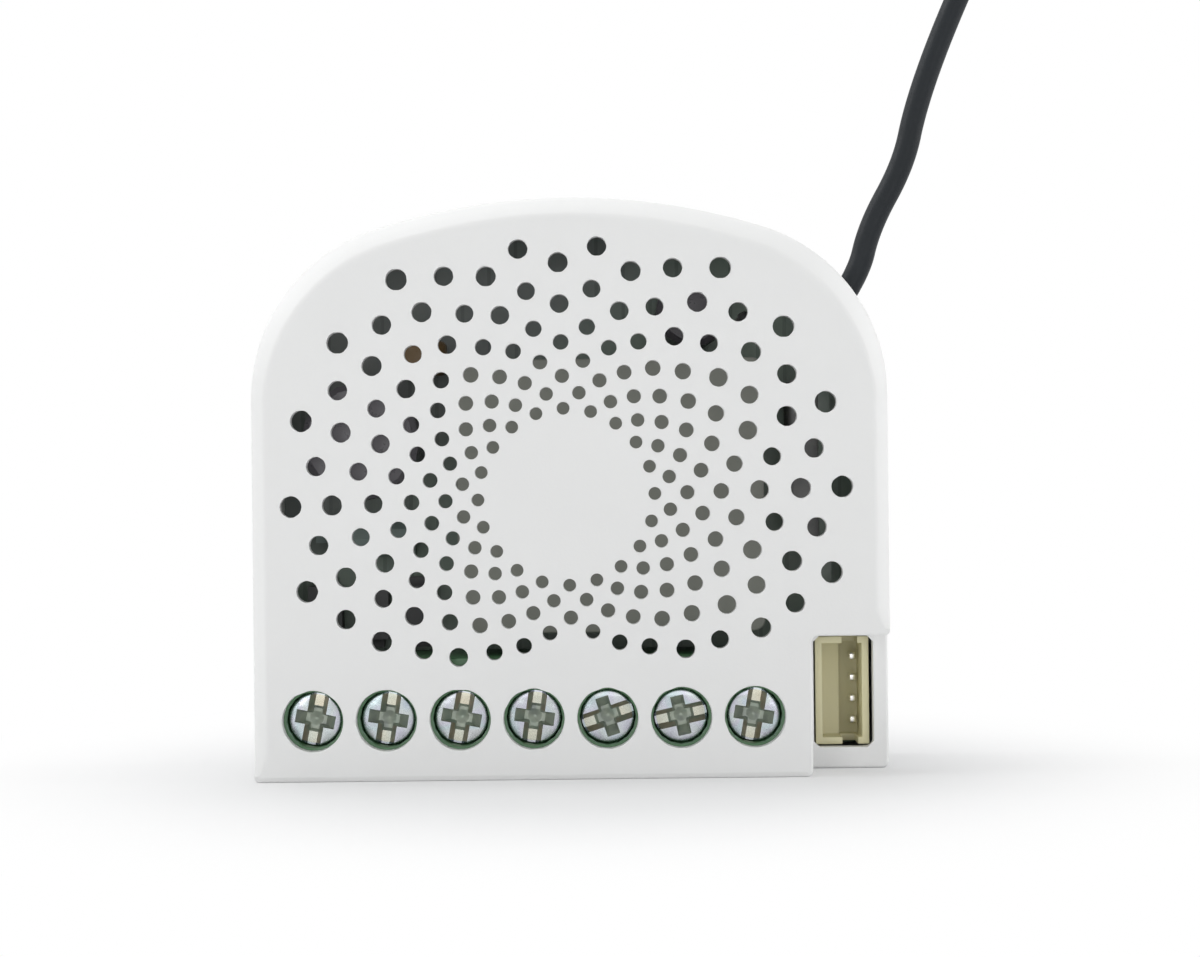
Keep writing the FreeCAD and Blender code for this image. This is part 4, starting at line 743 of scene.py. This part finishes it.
def build_shell():
    """The plain back half."""
    shape = Shape()
    left_corner = foot_corner(-1)
    right_corner = foot_corner(1)
    run = right_corner[:-1] + arch(BACK_EDGE, BACK_EDGE, PLAN_ROUND, PLAN_ROUND,
                                   (FOOT_EDGE, FOOT_EDGE)) + left_corner[1:]

    def back_levels(station):
        """Levels of the rounding from the sides to the back."""
        return [(inset, 2 * DEPTH - depth, front, out)
                for inset, depth, front, out in rounded(station, DEPTH)[::-1]]

    def levels(station):
        """Levels from the groove along the joint to the back."""
        return [(JOINT_GROOVE, JOINT, 0.0, 1.0),
                (0.0, JOINT + JOINT_GROOVE, 0.0, 1.0)] + back_levels(station)

    rows = walls(shape, run, levels, shell_grow, 1)
    walls(shape, [left_corner[-1], right_corner[0]], back_levels, shell_grow, 1)
    shape.sheet([loop_of(shape, rows[-1])], lambda u, v: shape.point(u, v, DEPTH, (0, 0, 1)))
    near = HALF_WIDTH - PLAN_ROUND + shell_grow(JOINT)
    back = DEPTH - FOOT_EDGE
    far = HALF_WIDTH - PLAN_ROUND + shell_grow(back)
    foot = [(-near, JOINT), (WINDOW_LEFT, JOINT), (WINDOW_LEFT, WINDOW_BACK),
            (WINDOW_RIGHT, WINDOW_BACK), (WINDOW_RIGHT, JOINT), (near, JOINT), (far, back),
            (-far, back)]
    shape.sheet([foot], lambda u, v: shape.point(u, 0.0, v, (0, -1, 0)))
    add_window(shape, WINDOW_BACK, -1)
    inner = arch(0, 0, WALL, WALL, (0, 0))
    add_lining(shape, inner, ((WALL, 0.0, JOINT), (WALL, 0.0, SHELL_FLOOR)))
    shape.sheet([[station.at(WALL, 0.0) for station in inner]],
                lambda u, v: shape.point(u, v, SHELL_FLOOR, (0, 0, -1)))
    piece = shape.make("rear_shell_skin", CASE_WHITE)
    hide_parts("rear_shell")
    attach(piece, "case")


# Screws

def ease(value, start, end):
    """0 up to start and 1 from end on, with a straight rise between them."""
    return min(1.0, max(0.0, (value - start) / (end - start)))


def arm_depth(along, side):
    """Depth of the cross recess's arm: steep at its sides, sloping up to its end."""
    end = ease(ARM_REACH - along, -LIP, END_TAPER)
    return CROSS_DEPTH * min(end, ease(ARM_HALF - side, -LIP, SIDE_TAPER))


def cross_depth(u, v):
    """Depth of the cross recess, with the deeper pit in its middle."""
    radius = math.hypot(u, v)
    core = CROSS_DEPTH * ease(CORE - radius, -LIP, CORE_TAPER)
    pit = PIT_DEPTH * ease(CORE - radius, PIT_START, PIT_END)
    return max(arm_depth(abs(u), abs(v)), arm_depth(abs(v), abs(u)), core) + pit


def slot_depth(u):
    """Depth of the straight slot: a flat floor between two sloped sides."""
    return SLOT_DEPTH * ease(SLOT_HALF - abs(u), 0.0, SLOT_HALF - SLOT_FLOOR)


def drive_depth(u, v):
    """Depth of the combination drive under the head's top."""
    return max(slot_depth(u), cross_depth(u, v))


def drive_lines(rim):
    """The drive's crease lines within the head's rim, as points and edges."""
    flat = []
    edges = []

    def polyline(places, closed=True):
        """Add a run of points, with an edge from each to the next."""
        first = len(flat)
        flat.extend(Vector(place) for place in places)
        count = len(places)
        edges.extend((first + index, first + (index + 1) % count)
                     for index in range(count if closed else count - 1))

    polyline(circle(0, 0, rim, HEAD_SIDES))
    polyline(circle(0, 0, CORE + LIP, CORE_SIDES))
    for cosine, sine in ((1, 0), (0, 1), (-1, 0), (0, -1)):
        for offset, reach in ((-LIP, ARM_REACH + LIP), (SIDE_TAPER, ARM_REACH - END_TAPER)):
            side = ARM_HALF - offset
            corners = [(ARM_START, side), (reach, side), (reach, -side), (ARM_START, -side)]
            for line in zip(corners, corners[1:]):
                polyline([(cosine * a - sine * b, sine * a + cosine * b) for a, b in line],
                         False)
    for across in (SLOT_HALF, SLOT_FLOOR):
        for sign in (-1, 1):
            reach = math.sqrt(rim ** 2 - across ** 2)
            polyline([(sign * across, reach * (2 * step / SLOT_STEPS - 1))
                      for step in range(SLOT_STEPS + 1)], False)
    return flat, edges


def screw_mesh():
    """One screw head's drive as a height field over its crease lines, with its shank."""
    rim = HEAD_RADIUS - HEAD_EDGE
    flat, edges = drive_lines(rim)
    cells = int(DRIVE_REACH / DRIVE_GRID)
    flat += [Vector((DRIVE_GRID * i, DRIVE_GRID * j)) for i in range(-cells, cells + 1)
             for j in range(-cells, cells + 1)
             if cross_depth(DRIVE_GRID * i, DRIVE_GRID * j) > 0]
    found, triangles = triangulate(flat, edges)
    work = bmesh.new()
    verts = [work.verts.new((u, v, -drive_depth(u, v))) for u, v in found]
    for triangle, centre in triangles:
        if centre.length > rim:
            continue
        face = work.faces.new([verts[corner] for corner in triangle])
        # The drive's faces take the zinc's copies: the recess its tarnish and painted shade,
        # the slopes painted shade, the floor a painted reflection.
        if cross_depth(centre.x, centre.y) > slot_depth(centre.x):
            face.material_index = RECESS_TARNISH_AND_SHADE
        elif abs(centre.x) < SLOT_HALF:
            face.material_index = SLOPE_PAINTED_SHADE if abs(centre.x) > SLOT_FLOOR else SLOT_FLOOR_PAINTED_REFLECTION
    tip = HEAD_DEPTH - SHANK_END
    # Radius and height, from the head's rim over its side and the shank to the tip's middle
    profile = [(rim, 0.0), (HEAD_RADIUS - 0.06, -0.018), (HEAD_RADIUS - 0.02, -0.06),
               (HEAD_RADIUS, -HEAD_EDGE), (HEAD_RADIUS, HEAD_UNDER_EDGE - HEAD_HEIGHT),
               (HEAD_RADIUS - HEAD_UNDER_EDGE, -HEAD_HEIGHT), (SHANK_RADIUS, -HEAD_HEIGHT),
               (SHANK_RADIUS, tip + SHANK_TIP), (SHANK_RADIUS - SHANK_TIP, tip), (0.001, tip)]
    rows = []
    for radius, level in profile:
        row = []
        for u, v in circle(0, 0, radius, HEAD_SIDES):
            drop = slot_depth(u) if level > RIM_LEVEL else 0.0
            row.append(work.verts.new((u, v, min(level, -drop))))
        rows.append(row)
    for first, second in zip(rows, rows[1:]):
        for index in range(HEAD_SIDES):
            after = (index + 1) % HEAD_SIDES
            work.faces.new([first[index], second[index], second[after], first[after]])
    bmesh.ops.remove_doubles(work, verts=work.verts, dist=SCREW_MERGE)
    bmesh.ops.recalc_face_normals(work, faces=work.faces)
    mesh = bpy.data.meshes.new("terminal_screw")
    work.to_mesh(mesh)
    work.free()
    mesh.polygons.foreach_set("use_smooth", [True] * len(mesh.polygons))
    mesh.set_sharp_from_angle(angle=SCREW_SMOOTH_ANGLE)
    for material in (ZINC, ZINC_SLOPE_PAINTED_SHADE, ZINC_RECESS_TARNISH_AND_SHADE, ZINC_FLOOR_PAINTED_REFLECTION):
        mesh.materials.append(material)
    return mesh


def build_screws():
    """The seven screws, each turned to its own angle."""
    master = screw_mesh()
    stand = Matrix.Rotation(math.radians(90), 4, "X")
    for index, angle in enumerate(SLOT_ANGLES):
        mesh = master.copy()
        place = Matrix.Translation(Vector((POLE_X + POLE_PITCH * index, FACE_Y + HEAD_DEPTH,
                                           POLE_Z)) * MM)
        turn = Matrix.Rotation(math.radians(-angle), 4, "Z")
        mesh.transform(place @ stand @ turn @ Matrix.Scale(MM, 4))
        piece = bpy.data.objects.new(f"screw_head_{index + 1}", mesh)
        bpy.context.scene.collection.objects.link(piece)
        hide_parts(f"terminal_screw_{index + 1}")
        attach(piece, f"screw_{index + 1}")


# Copies of the solids with softened edges, and the solids that stay as they are

def softened(node, body, material, width, segments=3, angle=28, close=None):
    """A copy of a node's form with its edges rounded off."""
    work = bmesh.new()
    work.from_mesh(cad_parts[node].data)
    bmesh.ops.remove_doubles(work, verts=work.verts, dist=MERGE)
    if close:
        close(work)
    bmesh.ops.dissolve_limit(work, angle_limit=FLAT_ANGLE, verts=work.verts, edges=work.edges)
    sharp = [edge for edge in work.edges
             if len(edge.link_faces) == 2 and edge.calc_face_angle(0) > math.radians(angle)]
    bmesh.ops.bevel(work, geom=sharp, offset=width * MM, segments=segments, profile=0.5,
                    affect="EDGES", clamp_overlap=True, offset_type="OFFSET")
    mesh = bpy.data.meshes.new(f"{node}_form")
    work.to_mesh(mesh)
    work.free()
    mesh.polygons.foreach_set("use_smooth", [True] * len(mesh.polygons))
    mesh.set_sharp_from_angle(angle=SMOOTH_ANGLE)
    mesh.materials.append(material)
    piece = bpy.data.objects.new(f"{node}_form", mesh)
    bpy.context.scene.collection.objects.link(piece)
    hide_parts(node)
    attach(piece, body)


def keep(node, material):
    """A node that stays gets its material."""
    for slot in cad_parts[node].material_slots:
        slot.material = material


def close_pin_holes(work):
    """Draw the housing's pin holes in to just under the pins' own faces."""
    for vert in work.verts:
        x, z = vert.co.x / MM, vert.co.z / MM
        for number in range(PINS):
            pin_z = PIN_Z + PIN_PITCH * number
            across, along = x - PIN_X, z - pin_z
            if abs(across) < PIN_NEAR and abs(along) < PIN_NEAR:
                vert.co.x = (PIN_X + math.copysign(PIN_HOLE, across)) * MM
                vert.co.z = (pin_z + math.copysign(PIN_HOLE, along)) * MM


def build_insides():
    """The header, the terminal moulding and all that shows through the vents."""
    softened("header_housing", "case", IVORY, 0.06, close=close_pin_holes)
    softened("header_pins", "case", PIN_TIN, 0.13)
    softened("power_supply", "case", SUPPLY_GREY, 0.15)
    softened("terminal_block", "case", BLOCK_GREEN, 0.05, 2, 40)
    softened("surge_disc", "case", DISC_ORANGE, 0.12)
    for material, nodes in (
            (BOARD_GREEN, ["main_board"]),
            (RADIO_GREEN, ["radio_board"]),
            (CONTACT_TIN, ["terminal_contacts"]),
            (FUSE_GREY, ["fuse_resistor"]),
            (SLEEVE_BLACK, ["bulk_capacitor", "filter_capacitor"]),
            (SHIELD_TIN, ["radio_shield", "crystal"]),
            (CHIP_BLACK, ["input_isolators", "controller_chip", "trim_parts"]),
            (CAGE_ZINC, [f"clamp_cage_{index}" for index in range(1, POLES + 1)])):
        for node in nodes:
            keep(node, material)


def build_aerial():
    """The aerial: one smooth line through the solid's route."""
    curve = bpy.data.curves.new("aerial", "CURVE")
    curve.dimensions = "3D"
    spline = curve.splines.new("NURBS")
    spline.points.add(len(AERIAL_ROUTE) - 1)
    for point, place in zip(spline.points, AERIAL_ROUTE):
        point.co = (place[0] * MM, place[1] * MM, place[2] * MM, 1)
    spline.order_u = 3
    spline.use_endpoint_u = True
    spline.resolution_u = 24
    curve.bevel_depth = WIRE_DIAMETER / 2 * MM
    curve.bevel_resolution = 8
    curve.use_fill_caps = True
    curve.materials.append(WIRE_BLACK)
    piece = bpy.data.objects.new("aerial_lead", curve)
    bpy.context.scene.collection.objects.link(piece)
    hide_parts("aerial_wire")
    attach(piece, "case")


# Camera, floor and light

def build_camera():
    """The photo's view: level and nearly head-on, with a slight roll."""
    camera = bpy.data.cameras.new("camera")
    camera.sensor_width = 36.0
    camera.lens = CAMERA_LENS
    camera.clip_start = 0.01
    camera.clip_end = 20.0
    stand = bpy.data.objects.new("camera", camera)
    bpy.context.scene.collection.objects.link(stand)
    upright = Matrix.Rotation(math.radians(90), 4, "X")
    roll = Matrix.Rotation(math.radians(CAMERA_ROLL), 4, "Z")
    stand.matrix_world = Matrix.Translation(Vector(CAMERA_PLACE) * MM) @ upright @ roll
    bpy.context.scene.camera = stand


def seen_directly(tree):
    """1 for rays straight from the camera, or by way of metal or glass."""
    light = tree.nodes.new("ShaderNodeLightPath")
    seen = light.outputs["Is Camera Ray"]
    for kind in ("Is Glossy Ray", "Is Transmission Ray"):
        either = tree.nodes.new("ShaderNodeMath")
        either.operation = "MAXIMUM"
        tree.links.new(seen, either.inputs[0])
        tree.links.new(light.outputs[kind], either.inputs[1])
        seen = either.outputs[0]
    return seen


def build_floor():
    """A pale floor, its colour darkened near the object as painted shade, that keeps the shadow
    near the object and fades to white round it.
    """
    mesh = bpy.data.meshes.new("floor")
    mesh.from_pydata([(FLOOR_REACH * x, FLOOR_REACH * y, FLOOR_LEVEL)
                      for x, y in ((-1, -1), (1, -1), (1, 1), (-1, 1))], [], [(0, 1, 2, 3)])
    make = Nodes("floor")
    make.shader.inputs["Roughness"].default_value = 0.8
    glow = make.add("ShaderNodeEmission")
    glow.inputs["Color"].default_value = (1, 1, 1, 1)
    glow.inputs["Strength"].default_value = 1.0
    shrink = make.add("ShaderNodeMapping")
    shrink.inputs["Scale"].default_value = (1 / FADE_WIDTH, 1 / FADE_LENGTH, 0)
    make.link(make.place, shrink.inputs["Vector"])
    distance = make.add("ShaderNodeVectorMath", operation="LENGTH")
    make.link(shrink.outputs["Vector"], distance.inputs[0])
    fade = make.span(distance.outputs["Value"], FADE_LEAST, 1.0, FADE_START, FADE_END,
                     "SMOOTHSTEP")
    # Painted shade: the floor's base colour runs from the darker tone near the object to the
    # open tone far off.
    painted_shade_ramp = make.ramp(fade, [(FADE_LEAST, FLOOR_PAINTED_SHADE), (1.0, FLOOR_FAR)])
    make.link(painted_shade_ramp, make.shader.inputs["Base Color"])
    share = make.add("ShaderNodeMath", operation="MULTIPLY")
    make.link(fade, share.inputs[0])
    make.link(seen_directly(make.tree), share.inputs[1])
    mix = make.add("ShaderNodeMixShader")
    make.link(share.outputs[0], mix.inputs["Fac"])
    make.link(make.shader.outputs["BSDF"], mix.inputs[1])
    make.link(glow.outputs["Emission"], mix.inputs[2])
    make.link(mix.outputs["Shader"], make.tree.nodes["Material Output"].inputs["Surface"])
    mesh.materials.append(make.material)
    floor = bpy.data.objects.new("floor", mesh)
    bpy.context.scene.collection.objects.link(floor)


def build_world():
    """Light from all round, dimmer from the front; white where it is seen directly."""
    world = bpy.data.worlds.new("studio")
    world.use_nodes = True
    bpy.context.scene.world = world
    tree = world.node_tree
    back = tree.nodes["Background"]
    place = tree.nodes.new("ShaderNodeTexCoord")
    parts = tree.nodes.new("ShaderNodeSeparateXYZ")
    tree.links.new(place.outputs["Generated"], parts.inputs["Vector"])
    level = tree.nodes.new("ShaderNodeMapRange")
    level.inputs["From Min"].default_value = -1.0
    level.inputs["From Max"].default_value = 1.0
    level.inputs["To Min"].default_value = WORLD_FRONT
    level.inputs["To Max"].default_value = WORLD_BACK
    tree.links.new(parts.outputs["Y"], level.inputs["Value"])
    tree.links.new(level.outputs["Result"], back.inputs["Strength"])
    back.inputs["Color"].default_value = WORLD_TINT
    white = tree.nodes.new("ShaderNodeBackground")
    white.inputs["Color"].default_value = (1, 1, 1, 1)
    white.inputs["Strength"].default_value = 1.0
    mix = tree.nodes.new("ShaderNodeMixShader")
    tree.links.new(seen_directly(tree), mix.inputs["Fac"])
    tree.links.new(back.outputs["Background"], mix.inputs[1])
    tree.links.new(white.outputs["Background"], mix.inputs[2])
    tree.links.new(mix.outputs["Shader"], tree.nodes["World Output"].inputs["Surface"])


def lamp(name, place, target, width, height, power):
    """A rectangular lamp that faces its target."""
    light = bpy.data.lights.new(name, "AREA")
    light.shape = "RECTANGLE"
    light.size = width
    light.size_y = height
    light.energy = power
    stand = bpy.data.objects.new(name, light)
    bpy.context.scene.collection.objects.link(stand)
    heading = Vector(target) - Vector(place)
    stand.matrix_world = Matrix.Translation(place) @ heading.to_track_quat(
        "-Z", "Y").to_matrix().to_4x4()


bpy.context.scene.view_settings.view_transform = "Standard"
build_camera()
build_aerial()
build_cover()
build_shell()
build_screws()
build_insides()
build_floor()
build_world()
lamp("softbox_top", (-0.06, 0.012, 0.235), (0, 0, 0.03), 0.22, 0.15, 0.165)
lamp("softbox_left", (-0.38, 0.0, 0.32), (0, 0, 0.02), 0.26, 0.26, 0.66)
lamp("softbox_right", (0.42, 0.0, 0.20), (0, 0, 0.02), 0.26, 0.26, 0.70)
lamp("fill_left", (-0.20, -0.50, 0.06), (0, 0, 0.02), 0.18, 0.20, 0.47)
lamp("fill_right", (0.20, -0.50, 0.05), (0, 0, 0.02), 0.18, 0.20, 0.395)
# Light that the thin white walls let through to the inside.
lamp("wall_glow", (0, FACE_Y * MM + 0.0016, 0.021), (0, 0, 0.021), 0.040, 0.031, 0.0018)
